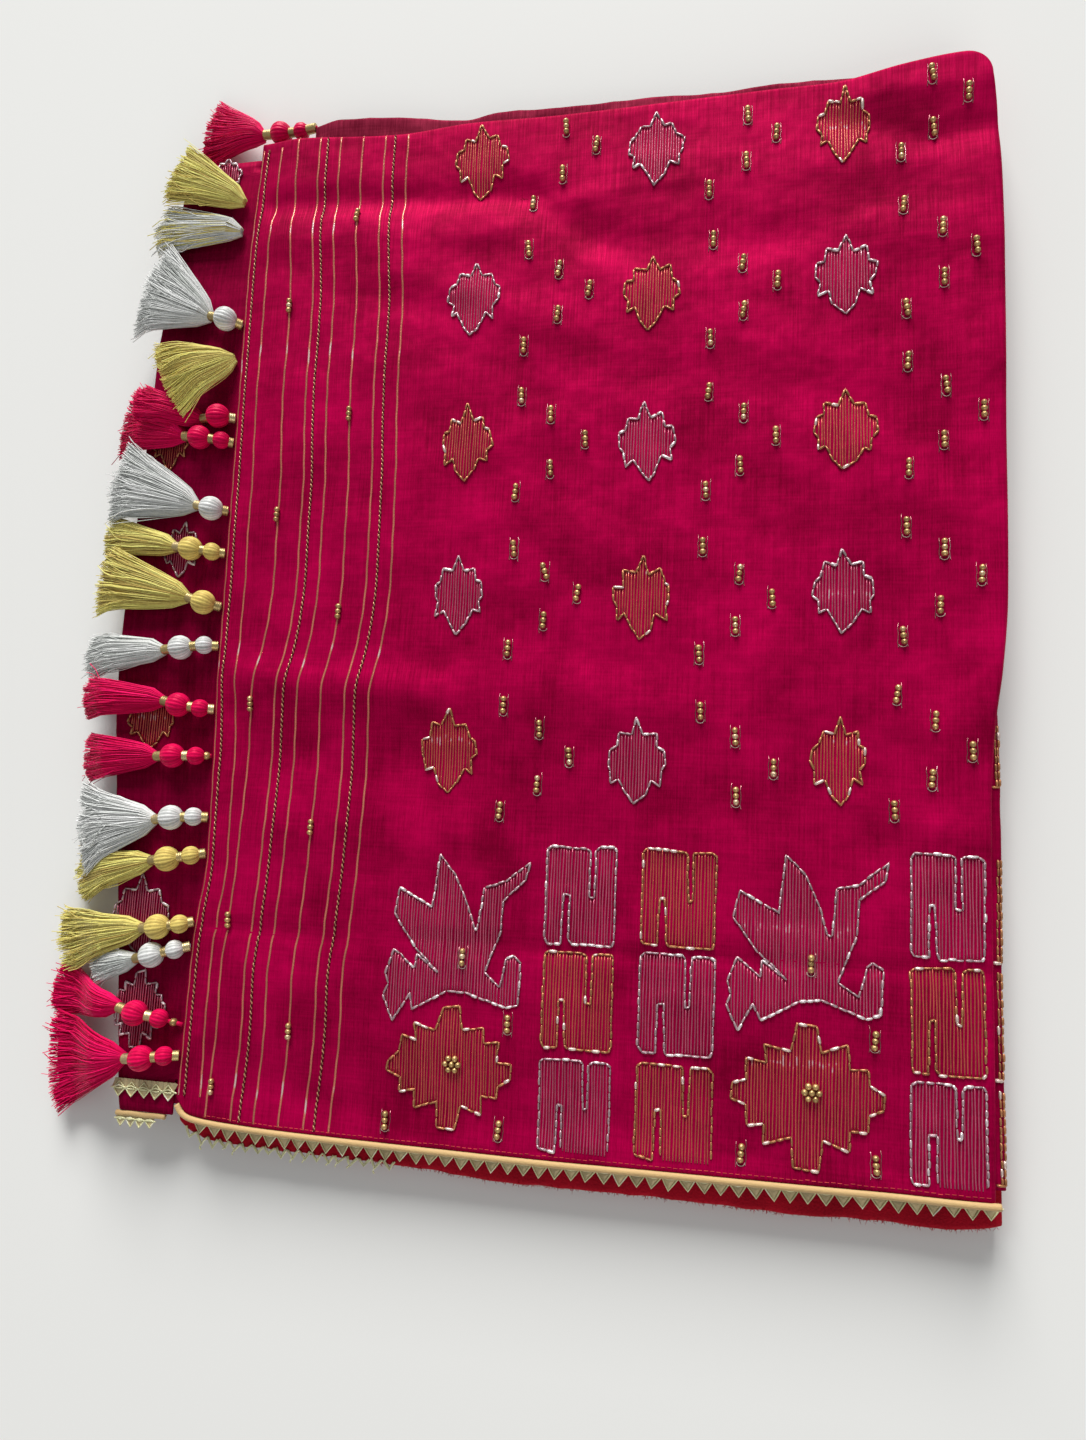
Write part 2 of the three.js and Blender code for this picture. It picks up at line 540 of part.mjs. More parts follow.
function stem(name, tassel) {
  const start = spot(tassel.exit, tassel.low ? LOW_HEIGHTS.exit : UNDER_TOP + GAP + 1.1);
  const neck = spot(tassel.neck, restHeight(tassel, HEAD_RADIUS, LOW_HEIGHTS.head));
  const beads = [
    tassel.small && { centre: spot(tassel.small, restHeight(tassel, SMALL_BEAD, LOW_HEIGHTS.small)), r: SMALL_BEAD },
    tassel.big && { centre: spot(tassel.big, restHeight(tassel, BIG_BEAD, LOW_HEIGHTS.big)), r: BIG_BEAD },
  ].filter(Boolean);
  const stations = [{ p: start, r: CORD_RADIUS }];
  beads.forEach(({ centre, r }, k) => {
    const from = k ? beads[k - 1].centre : start;
    const to = k + 1 < beads.length ? beads[k + 1].centre : neck;
    const forward = to.clone().sub(from).normalize();
    for (const [shift, size] of [[-0.86, 0.45], [-0.4, 0.94], [0.4, 0.94], [0.86, 0.45]]) {
      stations.push({ p: centre.clone().addScaledVector(forward, shift * r), r: size * r });
    }
  });
  const facing = spot(tassel.end, neck.z).sub(neck).normalize();
  stations.push({ p: neck.addScaledVector(facing, -GAP), r: COLLAR_RADIUS, facing });
  return loft(name, roundRings(stations, evenTurns(ROUND_SIDES)), THREAD[tassel.thread]);
}

// The skirt's head ends in a round face that is cut into cells, two rows of them side by side.
// Each cell is the root of a lock. Its corners are points of the face's rim, with their turns
// listed first, and points on the line between the rows.
const CELL_EDGES = Array.from({ length: LOCK_COLUMNS + 1 }, (_, i) => 1 - (2 * i) / LOCK_COLUMNS);
const RIM_TURNS = [
  ...CELL_EDGES.map((place) => Math.acos(place)),
  ...CELL_EDGES.slice(1, -1).reverse().map((place) => 2 * Math.PI - Math.acos(place)),
];

function cells(rim, middle) {
  const between = (i) => (i === 0 || i === LOCK_COLUMNS ? rim[i] : middle[i - 1]);
  const below = (i) => (i === 0 ? rim[0] : rim[2 * LOCK_COLUMNS - i]);
  const list = [];
  for (let i = 0; i < LOCK_COLUMNS; i += 1) {
    list.push([rim[i], rim[i + 1], between(i + 1), between(i)]);
    list.push([below(i + 1), below(i), between(i), between(i + 1)]);
  }
  return list.map((corners) => corners.filter((p, i) => p !== corners[(i + 1) % corners.length]));
}

// How a skirt's locks lie at a distance past the head: half width and half height of the fan,
// the height of its middle, and how much it leans to one side.
function fanShape(tassel, neck, heading, side, reach) {
  const lift = tassel.tier * TIER_RISE;
  const at = (distance, share) => neck.clone().addScaledVector(heading, HEAD_LENGTH + distance)
    .addScaledVector(side, share * tassel.half);
  const lie = (p) => (tassel.low
    ? Math.max(FLOOR_CLEARANCE, LOW_HEIGHTS.fan - LOW_HEIGHTS.fall * Math.abs(p.x - neck.x))
    : supportHeight(p.x, p.y));
  const tip = at(reach, 0), root = at(0, 0);
  const crossing = (underLeftX(tip.y) - 4 - root.x) / (tip.x - root.x);
  const bend = crossing > 0 && crossing < 1 ? Math.min(0.85, Math.max(0.12, crossing)) : 0.5;
  const ends = [lie(at(reach, 1)), lie(at(reach, -1))];
  const flat = tassel.low ? lie(at(bend * reach, 0)) : UNDER_TOP + GAP;
  const bent = { d: bend * reach, width: mix(HEAD_RADIUS, tassel.half, bend), height: FAN_HEIGHT,
    middle: flat + lift + FAN_HEIGHT, lean: 0 };
  const end = { d: reach, width: tassel.half, height: TIP_HEIGHT,
    middle: (ends[0] + ends[1]) / 2 + lift + TIP_HEIGHT, lean: (ends[0] - ends[1]) / 2 };
  return (distance) => {
    const t = (distance - bent.d) / (end.d - bent.d);
    const value = (key) => mix(bent[key], end[key], t);
    return { width: value('width'), height: value('height'), middle: value('middle'), lean: value('lean'),
      bend: bent.d };
  };
}

function skirt(name, tassel) {
  const headHeight = restHeight(tassel, HEAD_RADIUS, LOW_HEIGHTS.head);
  const neck = spot(tassel.neck, headHeight);
  const heading = spot(tassel.end, headHeight).sub(neck);
  const reach = heading.length() - HEAD_LENGTH;
  heading.normalize();
  const side = new THREE.Vector3(0, 0, 1).cross(heading);
  const stations = [[0, COLLAR_RADIUS], [2.5, HEAD_RADIUS * 0.92], [HEAD_LENGTH, HEAD_RADIUS]]
    .map(([t, r]) => ({ p: neck.clone().addScaledVector(heading, t), r }));
  const rings = roundRings(stations, RIM_TURNS);
  const around = RIM_TURNS.length;
  const points = rings.flat();
  const faces = capFaces(rings[0], 0, true);
  for (let r = 0; r + 1 < rings.length; r += 1) {
    for (let i = 0; i < around; i += 1) {
      const a = r * around + i, b = r * around + (i + 1) % around;
      faces.push([a, b, b + around], [a, b + around, a + around]);
    }
  }
  const faceCentre = stations.at(-1).p;
  const rim = RIM_TURNS.map((turn, i) => (
    { index: (rings.length - 1) * around + i, across: Math.cos(turn), up: Math.sin(turn) }));
  const middle = CELL_EDGES.slice(1, -1).map((place) => ({
    index: points.push(faceCentre.clone().addScaledVector(side, place * HEAD_RADIUS)) - 1,
    across: place, up: 0,
  }));
  const shape = fanShape(tassel, neck, heading, side, reach);
  cells(rim, middle).forEach((corners, k) => {
    const across = corners.reduce((sum, p) => sum + p.across, 0) / corners.length;
    const up = corners.reduce((sum, p) => sum + p.up, 0) / corners.length;
    const uneven = 1 + 0.05 * Math.sin(2.6 * k + 1.3 * reach);
    const section = (distance, fullness) => {
      const { width, height, middle: z, lean } = shape(distance);
      return corners.map((p) => {
        const s = mix(across, p.across, fullness), t = mix(up, p.up, fullness);
        const place = faceCentre.clone().addScaledVector(heading, distance).addScaledVector(side, s * width);
        return place.setZ(z + t * height + s * lean);
      });
    };
    let previous = corners.map((p) => p.index);
    const tip = reach * uneven * (1 - 0.12 * across ** 2);
    for (const ringPoints of [section(shape(0).bend, BEND_FULLNESS), section(Math.max(tip, shape(0).bend + 1), TIP_FULLNESS)]) {
      const ring = ringPoints.map((p) => points.push(p) - 1);
      ring.forEach((_, i) => {
        const j = (i + 1) % ring.length;
        faces.push([previous[i], previous[j], ring[j]], [previous[i], ring[j], ring[i]]);
      });
      previous = ring;
    }
    for (let i = 1; i + 1 < previous.length; i += 1) faces.push([previous[0], previous[i], previous[i + 1]]);
  });
  return closedMesh(name, points, faces, THREAD[tassel.thread]);
}

function tassels() {
  return TASSELS.flatMap((tassel, k) => {
    const number = String(k + 1).padStart(2, '0');
    const pieces = [skirt(`tassel_${number}`, tassel)];
    if (tassel.big) pieces.push(stem(`stem_${number}`, tassel));
    return pieces;
  });
}

// ---------------------------------------------------------------- the whole saree

const saree = new THREE.Group();
saree.add(
  topStretch(), underStretchLeft(), underStretchTop(), foldRight(), liningStrip(), hiddenLayers(),
  hemPiping(), underPiping(), ...laces(), ...tassels(),
);

// The origin is the middle of the underside of the whole.
const box = new THREE.Box3().setFromObject(saree);
const middle = box.getCenter(new THREE.Vector3());
saree.position.set(-middle.x, -middle.y, -box.min.z);

export default saree;
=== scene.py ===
"""A silk saree folded flat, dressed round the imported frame.

Sizes are in millimetres and match the frame's solids. The stack is laid out from the middle of
its top panel, X across from the tasselled end to the fold and Y from the hem to the top fold,
and SHIFT carries a point from there to the frame.
"""

import math
import bpy
import numpy as np
from bpy.props import FloatProperty, FloatVectorProperty, IntProperty, PointerProperty
from mathutils import Matrix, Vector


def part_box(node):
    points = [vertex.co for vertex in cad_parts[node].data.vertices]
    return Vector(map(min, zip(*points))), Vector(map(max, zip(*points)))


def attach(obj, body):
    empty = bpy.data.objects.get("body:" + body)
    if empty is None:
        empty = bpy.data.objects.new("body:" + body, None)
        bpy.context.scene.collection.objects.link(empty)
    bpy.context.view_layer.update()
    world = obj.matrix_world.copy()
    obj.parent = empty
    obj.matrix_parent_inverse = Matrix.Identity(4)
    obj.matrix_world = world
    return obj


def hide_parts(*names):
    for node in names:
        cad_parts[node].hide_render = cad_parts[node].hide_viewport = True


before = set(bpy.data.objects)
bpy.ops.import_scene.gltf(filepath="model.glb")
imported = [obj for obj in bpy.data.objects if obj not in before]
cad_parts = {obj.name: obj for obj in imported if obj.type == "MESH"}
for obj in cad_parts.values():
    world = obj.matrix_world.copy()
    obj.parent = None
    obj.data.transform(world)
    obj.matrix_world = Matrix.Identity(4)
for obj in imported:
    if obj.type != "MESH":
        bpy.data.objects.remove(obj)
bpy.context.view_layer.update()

bl_info = {
    "name": "Folded saree",
    "version": (1, 0, 0),
    "blender": (4, 5, 0),
    "location": "3D View > Sidebar > Saree",
    "description": "A folded silk saree with metal embroidery, laced hem and bead tassels",
    "category": "Add Mesh",
}

# ------------------------------------------------------------------ sizes, in millimetres

MM = 0.001
WALL = 1.2                      # cloth
GAP = 0.3                       # between neighbouring pieces
TOP = 24.0                      # upper side of the top panel
ROLL = 2.8                      # outer radius of its rolled folds
CORNER = 11.0                   # plan radius of its folded corner, inside the roll
TUCK = 6.0                      # how far it runs back under a roll
PALLU_DROP, PALLU_REACH = 2.9, 26.0
HEM_DROP, HEM_DROP_RIGHT = 4.4, 1.1
PIPING_RADIUS, LOWER_PIPING_RADIUS = 1.85, 1.5
UNDER_TOP = TOP - 2 * ROLL + WALL
TIER_TOP = TOP - 2 * ROLL - GAP
UNDER_FOLD, TIER_FOLD, LINING_FOLD = 2.6, 2.4, 3.0
LINING_TOP = 11.0
HEM_LACE_TOP, LOWER_LACE_TOP, EDGE_LACE_TOP = 16.85, 12.5, 18.4
SMALL_BEAD, BIG_BEAD = 5.0, 6.8
COLLAR_RADIUS, HEAD_RADIUS, HEAD_LENGTH = 2.6, 4.8, 9.0
TIER_RISE = 3.4                 # a skirt that lies over its neighbours
DROOP = 0.6                     # fall of the threads past the edge, per millimetre
FLOOR_CLEARANCE = 2.0
# Heights along the one tassel that hangs low, and its threads' fall per millimetre.
LOW_HEIGHTS = {"exit": 15.7, "small": 14.5, "big": 13.2, "head": 12.5, "fan": 10.0, "fall": 0.16}
LACE_START = -198.0             # left end of lower_lace
UNDER_FRONT = -284.0            # front end of under_stretch_left

SHIFT = np.array([
    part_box("lower_lace")[0].x / MM - LACE_START,
    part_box("under_stretch_left")[0].y / MM - UNDER_FRONT,
    0.0,
])


def metres(points):
    """Points of the stack in millimetres, carried to the frame in metres."""
    return (np.asarray(points, float) + SHIFT) * MM


# ------------------------------------------------------------------ tables

# Edges of the top panel and of what shows round it: place along the edge, then where it lies.
RIGHT_EDGE = [(-284, 201), (-237, 201.5), (-149, 201.4), (-102, 201.8), (-65, 204), (-40, 207.5),
              (-6, 210.4), (69, 211.2), (202, 211.5), (255, 209.5), (285, 206)]
LEFT_EDGE = [(-280, -204.8), (-224, -204.3), (-187, -203.5), (-149, -199.5), (-95, -201.5),
             (-38, -203.3), (67, -204.8), (165, -206.2), (209, -206.4), (280, -203.3)]
BACK_EDGE = [(-206, 280), (-179, 280), (-116, 275.5), (-73, 278), (-21, 277), (95, 279),
             (136, 279.5), (164, 284), (191, 287), (209, 286)]
PIPING_LINE = [(-204.6, -278.2), (-202, -281.8), (-196, -284.4), (-179, -286.3), (-156, -287.4),
               (-112, -287.8), (-60, -287.8), (-7, -287.7), (50, -286.8), (107, -286), (160, -285),
               (204, -284)]
UNDER_LEFT_EDGE = [(-284, -240), (-276, -241.5), (-180, -252.5), (-72, -265.9), (-21, -267.8),
                   (60, -265), (147, -262.6), (200, -260), (245, -256), (256, -254), (270, -247)]
UNDER_BACK_EDGE = [(-171.6, 291), (-158, 294.4), (-119, 291.5), (-94, 287.4), (-76, 285),
                   (-58, 288), (-22, 286.7), (29, 286.9), (68, 285.4), (100, 286.9), (137, 285.4),
                   (176, 282)]
SECOND_FOLD_EDGE = [(-278, 206.8), (-237, 206.6), (-193, 206.2), (-149, 206.8), (-102, 207),
                    (-65, 206.4), (-20, 204), (60, 202), (190, 200)]
LINING_EDGE = [(-126, -292), (-112, -298.5), (-70, -300.6), (-28, -302.6), (20, -301.8), (70, -301.4),
               (108, -301.9), (150, -300.4), (190, -300.2), (206, -296.6)]
LOWER_BAND_EDGE = [(-207, -288), (-202, -292.5), (-189, -297), (-145, -298.4), (-84, -298.6)]

# Creases: a soft line from (x1, y1) to (x2, y2), its half width and its rise. The first ones
# are in the frame's solid too, the rest are finer.
CREASES = [
    (-215, 239, -40, 229, 9, -2.5), (-40, 229, 10, 197, 11, -1.8), (10, 197, 100, 192, 13, -1.5),
    (100, 192, 160, 214, 12, -1.0), (-215, 216, -60, 208, 12, 1.7),
    (140, 252, 170, 242, 9, -1.9), (186, 243, 214, 247, 8, -1.9), (152, 274, 206, 272, 12, 3.0),
    (-215, -46, -85, -55, 12, 3.2), (-85, -55, 70, -60, 17, 1.5), (-215, -88, -60, -97, 17, -1.9),
    (-207, -184, 210, -184, 4, -0.9), (-84, -90, -70, -150, 9, -1.2), (182, 40, 192, -60, 9, 1.9),
    (168, 20, 172, -80, 9, -1.6), (-110, 190, -20, 150, 13, 1.5), (-215, 8, -100, 3, 17, -1.2),
    (-193, -185, -84, -191, 1.6, -0.55), (-84, -191, 75, -183, 1.6, -0.5),
    (75, -183, 204, -182, 1.6, -0.55), (80, -275, 200, -274, 3, -0.5),
    (-205, 226, -60, 221, 4, 0.5), (-60, 221, 60, 229, 4, 0.45), (-190, -135, -60, -128, 15, 1.1),
    (-100, 60, -20, 92, 13, 1.0), (-30, 40, 60, 10, 16, 1.2), (40, 120, 150, 96, 15, -1.2),
    (60, -20, 150, -60, 14, 1.2), (-60, -10, 20, -36, 12, -0.9), (-200, 120, -110, 130, 15, 0.9),
    (-200, 66, -120, 58, 15, -0.7), (100, 200, 190, 186, 13, 1.0), (40, 236, 110, 230, 13, 0.9),
    (176, 150, 190, 80, 9, -1.4), (150, -110, 196, -122, 8, 1.1), (-60, -236, 40, -244, 10, 0.5),
    (60, -130, 150, -150, 15, 0.9), (-40, -120, 50, -140, 13, -0.8), (196, 220, 200, 120, 8, 1.2),
    (-196, 190, -190, 90, 6, 0.7), (-198, -100, -194, -230, 5, 0.6), (-150, 176, -70, 164, 8, -0.6),
]

STACK_CORNER, STACK_STEPS = 16.0, 36
# The side of one folded layer: share of its height, and how far it stands in.
LAYER_SIDE = [(0.02, 1.5), (0.15, 0.4), (0.5, 0.0), (0.86, 0.4), (0.98, 1.5)]
# Tiers of the hidden layers from the floor up: top, left, right, front, back, wave.
TIERS = [(2.3, -255, 201, -280, 273, 0.8), (4.7, -258, 203, -282, 275, 0.7),
         (8.0, -260, 202, -271.7, 276, 0), (11.3, -257, 203, -271.7, 274, 0),
         (13.0, -259, 202, -280.5, 275, 0.5), (TIER_TOP, -253.2, 179.7, -279, 263.7, 0),
         (19.9, -186, 178, -225, 262, 0)]

# Tassels: thread, where the cord leaves the cloth, bead centres, neck of the skirt, middle and
# half width of its far end, the tier it lies on, and whether it hangs low at the back corner.
TASSELS = [
    ("red", (-172.2, 291.5), (-183, 291), (-197, 292), (-209, 293), (-252, 301), 18, 0, True),
    ("gold", (-206.9, 239.5), None, None, (-212, 241), (-260, 263), 15, 1, False),
    ("silver", (-207, 221.5), None, None, (-212, 222), (-270, 229), 13, 0, False),
    ("silver", (-206.7, 163), None, (-215, 164.5), (-226.5, 168), (-271, 190), 25, 1, False),
    ("gold", (-206.5, 145), None, None, (-209, 142), (-246, 122), 21, 3.2, False),
    ("red", (-205.7, 90), (-211.5, 90.5), (-224.5, 92), (-236, 94), (-283, 108), 18, 0, False),
    ("red", (-205.9, 105), None, (-214, 104.5), (-225, 104), (-265, 113), 8, 2.3, False),
    ("silver", (-205.2, 49), None, (-213, 49), (-224, 52), (-282, 70), 21, 1, False),
    ("gold", (-204.9, 24), (-211, 24), (-223.5, 25.5), (-235, 27.5), (-289, 37), 10, 0, False),
    ("gold", (-204.3, -7.5), None, (-212.5, -6), (-224, -2.5), (-286, 11), 17, 1, False),
    ("silver", (-203.7, -30), (-210.5, -30.2), (-224, -32), (-236, -33), (-295, -36), 11, 0, False),
    ("red", (-202.9, -66), (-209.5, -66), (-222, -64.5), (-233, -62), (-289, -60), 10, 1, False),
    ("red", (-202.1, -92), (-209.5, -92.6), (-222.5, -93), (-234.5, -93.5), (-288, -94), 12, 0, False),
    ("silver", (-200.9, -126), (-207.5, -126), (-220, -127), (-231.5, -128.5), (-284, -135), 21, 1,
     False),
    ("gold", (-200.3, -145.5), (-207, -147), (-220, -149.5), (-231.5, -151), (-288, -164), 11, 0,
     False),
    ("gold", (-203.9, -182.5), (-210, -184), (-222, -186), (-233, -187.5), (-294, -199), 15, 1,
     False),
    ("silver", (-204.5, -195.5), (-211.5, -197.5), (-224, -201), (-235, -204), (-266, -212), 7, 0,
     False),
    ("red", (-205.1, -237), (-217, -234), (-230.5, -232), (-242.5, -230), (-297, -226), 11, 0, False),
    ("red", (-205.3, -253), (-212, -253), (-224.5, -255), (-236, -256.5), (-292, -264), 25, 1, False),
]

# Stripes of the pallu: place of each flat metal line and each chained line at the top fold,
# and how far they all wander sideways on the way down.
EDGE_LINES = [1.0, 13.5]
EDGE_CHAIN = 4.6
FLAT_LINES = [-179, -165, -152, -138, -124, -110]
CHAIN_LINES = [-160, -118]
STRIPE_WANDER = [(-272, -8), (-235, -5), (-204, -5), (-180, -3), (-129, 0), (-63, 0), (-11, 6),
                 (64, 6), (103, 4), (171, 3), (224, 0), (272, 0)]
RIGHT_WANDER = [(-272, 0), (-125, 0), (-107, -5), (-66, -4), (19, 0), (100, 2), (189, 0), (276, -4)]
# How far the cloth settles towards the hem, as a share of the drop, by distance from the hem.
HEM_PROFILE = [(0, 0.7), (7, 0.86), (14, 1.0), (19, 1.0), (36, 0.68), (54, 0.28), (78, 0)]
# Where the flat lines catch the light: below the top valley, on the ridge and near the hem.
GLEAMS = [219, 142, -36, -268]
STRIPE_BEADS = [(-138, 224), (-176, 171), (-134, 103), (-173, 45), (-132, -11), (-179, -63),
                (-138, -129), (-182, -180), (-143, -235), (-185, -267)]

# Leaf motifs stand in columns, gold and silver in turn: column, first row and first metal.
LEAF_COLUMNS = [(-65, 252, "gold"), (34, 249, "silver"), (134, 252, "gold")]
LEAF_PERIOD, LEAF_ROWS = 84.5, 5
LEAF_HALF_WIDTH, LEAF_HALF_HEIGHT = 15.0, 22.0
# Bead sets stand in groups between the columns: where each column starts, the sets of a
# group, and the lowest and highest place that isn't covered by other work.
BEAD_COLUMNS = [(-17, 252.5), (83, 250), (181, 260.5)]
BEAD_PERIOD, BEAD_ROWS = 85.2, 5
BEAD_GROUP = [(0, 14), (0, -14), (-18, -28), (-18, 27), (17, 1)]
BEAD_LOW, BEAD_HIGH = -118, 277
BORDER_BEADS = [(-51, -191), (-26, -222), (-29, -274), (-88, -275), (120, -183), (149, -216),
                (89, -273), (150, -272)]

# Right half of a leaf motif, from its tip down, in half widths and half heights.
LEAF_HALF = [(0, 1.0), (0.23, 0.6), (0.62, 0.65), (0.71, 0.33), (0.96, 0.27), (1.0, -0.06),
             (0.83, -0.2), (0.86, -0.52), (0.55, -0.4), (0.31, -0.76), (0, -1.0)]
# A lotus in bloom on a wavy stem with one leaf, in millimetres from its middle.
LOTUS = [(-31, 22), (-13, 13), (-10, 41), (-1, 31), (6, 17), (9, 4), (11, 4), (13, 26), (24, 29),
         (37, 39), (35, 30), (24, 20), (23, 4), (15, -17), (24, -24), (27, -10), (30, -8), (35, -11),
         (34, -32), (27, -33), (6, -27), (-3, -27), (-22, -38), (-24, -30), (-32, -44), (-37, -31),
         (-35, -26), (-37, -20), (-33, -9), (-22, -17), (-21, -10), (-9, -18), (-22, -6), (-33, 10)]
LOTUS_PLACES = [(-55, -181), (118, -173)]
# What shows on the stretch at the left, between the tassels: leaves and a star.
LOWER_LEAVES = [("gold", (-242, -73), 14, 16), ("silver", (-226, 262), 9, 12),
                ("silver", (-237, -181), 17, 22), ("gold", (-247, 92), 11, 16),
                ("silver", (-233, 27), 11, 17)]
LOWER_STAR = (-233, -231, 17, 20)
# Parts of the second fold that show embroidery, from y to y.
FOLD_BLOCKS = [(-66, -96), (-130, -178), (-182, -230), (-235, -276)]
# The upper right quarter of a star, in half widths and half heights.
STAR_QUARTER = [(0.15, 1.0), (0.2, 0.6), (0.55, 0.74), (0.54, 0.42), (0.77, 0.47), (0.8, 0.2),
                (0.97, 0.12)]
# Star flowers: middle and half sizes.
STARS = [(-56, -246, 33, 30), (119, -244, 35, 33)]
# Key blocks: column from x to x, and the top, bottom and metal of each block.
KEY_COLUMNS = [
    (-9, 26, [(-133, -181, "silver"), (-185, -232, "gold"), (-237, -281, "silver")]),
    (39, 75, [(-133, -179, "gold"), (-183, -230, "silver"), (-235, -280, "gold")]),
    (165, 197, [(-129, -177, "silver"), (-181, -229, "gold"), (-233, -278, "silver")]),
]
# A key block's corners, in shares of its width and height, and where they turn at its feet.
# The lowest block of a column has no wire along its right foot.
KEY_SLOT = [(0.0, 0.96), (0.06, 1.0), (0.56, 1.0), (0.61, 0.96), (0.62, 0.48), (0.69, 0.48),
            (0.7, 0.97), (0.75, 1.0), (0.95, 1.0), (1.0, 0.96), (1.0, 0.05), (0.96, 0.0), (0.38, 0.0),
            (0.34, 0.04), (0.33, 0.5), (0.25, 0.5), (0.24, 0.0), (0.04, 0.0), (0.0, 0.05)]
KEY_RIGHT_FOOT, KEY_SLOT_FOOT, KEY_SLOT_END = 10, 13, 17

# Colours of single yarns and wires.
YARNS = {"salmon_yarn": (0.78, 0.155, 0.095), "pink_yarn": (0.70, 0.14, 0.24),
         "pale_yarn": (0.52, 0.2, 0.22), "pale_wire": (0.92, 0.66, 0.60),
         "chain_dark": (0.12, 0.015, 0.02), "chain_gold": (0.84, 0.44, 0.24),
         "red_hair": (0.45, 0.006, 0.02), "stitch_floss": (0.44, 0.05, 0.05)}
THREAD_SLOTS = {"red": "thread_red", "gold": "thread_gold", "silver": "thread_silver"}
# Tassels that leave the cloth through a brass bead, not a collar.
EXIT_BEADS = (13, 18)
# Skirts of thread: how uneven each colour's ends are, its share of stray threads, the one
# with gold threads among its own, the points along a thread and the locks in a skirt.
RAGGED = {"red": 0.03, "gold": 0.08, "silver": 0.1}
STRAYS = {"red": 0.04, "gold": 0.13, "silver": 0.13}
MIXED_TASSEL, MIXED_SHARE = 3, 0.25
STATIONS, LOCKS = 9, 11


# ------------------------------------------------------------------ settings

def colour_setting(name, description, default):
    """A colour that a user can change."""
    return FloatVectorProperty(name=name, description=description, subtype="COLOR", size=3,
                               default=default)


def length_setting(name, description, default, low):
    """A length in metres that a user can change."""
    return FloatProperty(name=name, description=description, subtype="DISTANCE", unit="LENGTH",
                         default=default, min=low)


def power_setting(name, description, default):
    """The power of a light, in watts."""
    return FloatProperty(name=name, description=description, unit="POWER", default=default, min=0.0)


class SilkSettings(bpy.types.PropertyGroup):
    bright: colour_setting("Silk, lit", "Colour of the silk where its yarns catch the light",
                           (0.52, 0.0008, 0.072))
    deep: colour_setting("Silk, deep", "Colour of the silk between its yarns", (0.21, 0.0003, 0.025))
    lining: colour_setting("Lining", "Colour of the red nap of the lining", (0.66, 0.008, 0.03))
    piping: colour_setting("Piping", "Colour of the piping at the hem", (0.72, 0.48, 0.21))
    yarn: length_setting("Yarn width", "Width of a slub in the weave", 0.0008, 0.0002)


class MetalSettings(bpy.types.PropertyGroup):
    collar: colour_setting("Collars", "Colour of the metal collars between the beads",
                           (0.60, 0.46, 0.20))
    silver: colour_setting("Silver wire", "Colour of silver wire", (0.66, 0.46, 0.51))
    antique: colour_setting("Antique wire", "Colour of the dull gold wire of the outlines",
                            (0.62, 0.28, 0.12))
    brass: colour_setting("Brass beads", "Colour of the small beads", (0.66, 0.44, 0.18))
    lace: colour_setting("Lace", "Colour of the metal ribbon of the laces", (0.95, 0.78, 0.44))
    zari: colour_setting("Zari", "Colour of the flat metal lines in the cloth", (0.86, 0.26, 0.17))
    coil_length: length_setting("Coil length", "Length of one piece of coiled wire in an outline",
                                0.0039, 0.0005)
    coil_radius: length_setting("Coil radius", "Radius of the coiled wire", 0.00062, 0.0001)
    fill_pitch: length_setting("Fill pitch", "Distance between the metal yarns that fill a motif",
                               0.00148, 0.0005)
    bead_radius: length_setting("Bead radius", "Radius of a brass bead", 0.00158, 0.0002)


class TasselSettings(bpy.types.PropertyGroup):
    red: colour_setting("Red thread", "Colour of the red silk thread", (0.95, 0.006, 0.1))
    gold: colour_setting("Gold thread", "Colour of the gold silk thread", (1.0, 0.7, 0.2))
    silver: colour_setting("Silver thread", "Colour of the silver silk thread", (0.92, 0.97, 0.92))
    threads: IntProperty(
        name="Threads", description="Threads in the slimmest skirt", default=280, min=20)
    per_width: FloatProperty(
        name="Threads by width", description="More threads for each millimetre of half width",
        default=10.5, min=0.0)
    spread: FloatProperty(
        name="Spread", description="How far the threads spread past the solid's sides",
        default=1.24, min=1.0)
    thread_radius: length_setting("Thread radius", "Radius of one thread", 0.00027, 0.0001)


class StageSettings(bpy.types.PropertyGroup):
    floor: colour_setting("Floor", "Colour of the floor", (0.86, 0.865, 0.85))
    window: power_setting("Window", "Power of the large soft light behind the saree", 6300.0)
    room: power_setting("Room", "Power of the weak light from the room in front of the saree", 560.0)
    sky: FloatProperty(
        name="Sky", description="Strength of the even light from all round", default=0.285, min=0.0)


def settings(name):
    """The scene's settings of one group."""
    return getattr(bpy.context.scene, "saree_" + name)


# ------------------------------------------------------------------ numbers

def along(table, at):
    """Smooth values read from a table of (place, value) rows."""
    places, values = np.array(table, float).T
    at = np.clip(np.asarray(at, float), places[0], places[-1])
    slopes = np.empty_like(values)
    slopes[1:-1] = (values[2:] - values[:-2]) / (places[2:] - places[:-2])
    slopes[0] = (values[1] - values[0]) / (places[1] - places[0])
    slopes[-1] = (values[-1] - values[-2]) / (places[-1] - places[-2])
    i = np.clip(np.searchsorted(places, at, side="right") - 1, 0, len(places) - 2)
    span = places[i + 1] - places[i]
    t = (at - places[i]) / span
    rise = values[i + 1] - values[i]
    first, second = slopes[i] * span, slopes[i + 1] * span
    return (values[i] + first * t + (3 * rise - 2 * first - second) * t ** 2
            + (first + second - 2 * rise) * t ** 3)


def smooth(t):
    """Eases from 0 to 1."""
    t = np.clip(t, 0.0, 1.0)
    return t * t * (3 - 2 * t)


def mix(a, b, t):
    return a + (b - a) * t


def unit(vectors):
    """Vectors made one long."""
    vectors = np.asarray(vectors, float)
    return vectors / np.maximum(np.linalg.norm(vectors, axis=-1, keepdims=True), 1e-12)


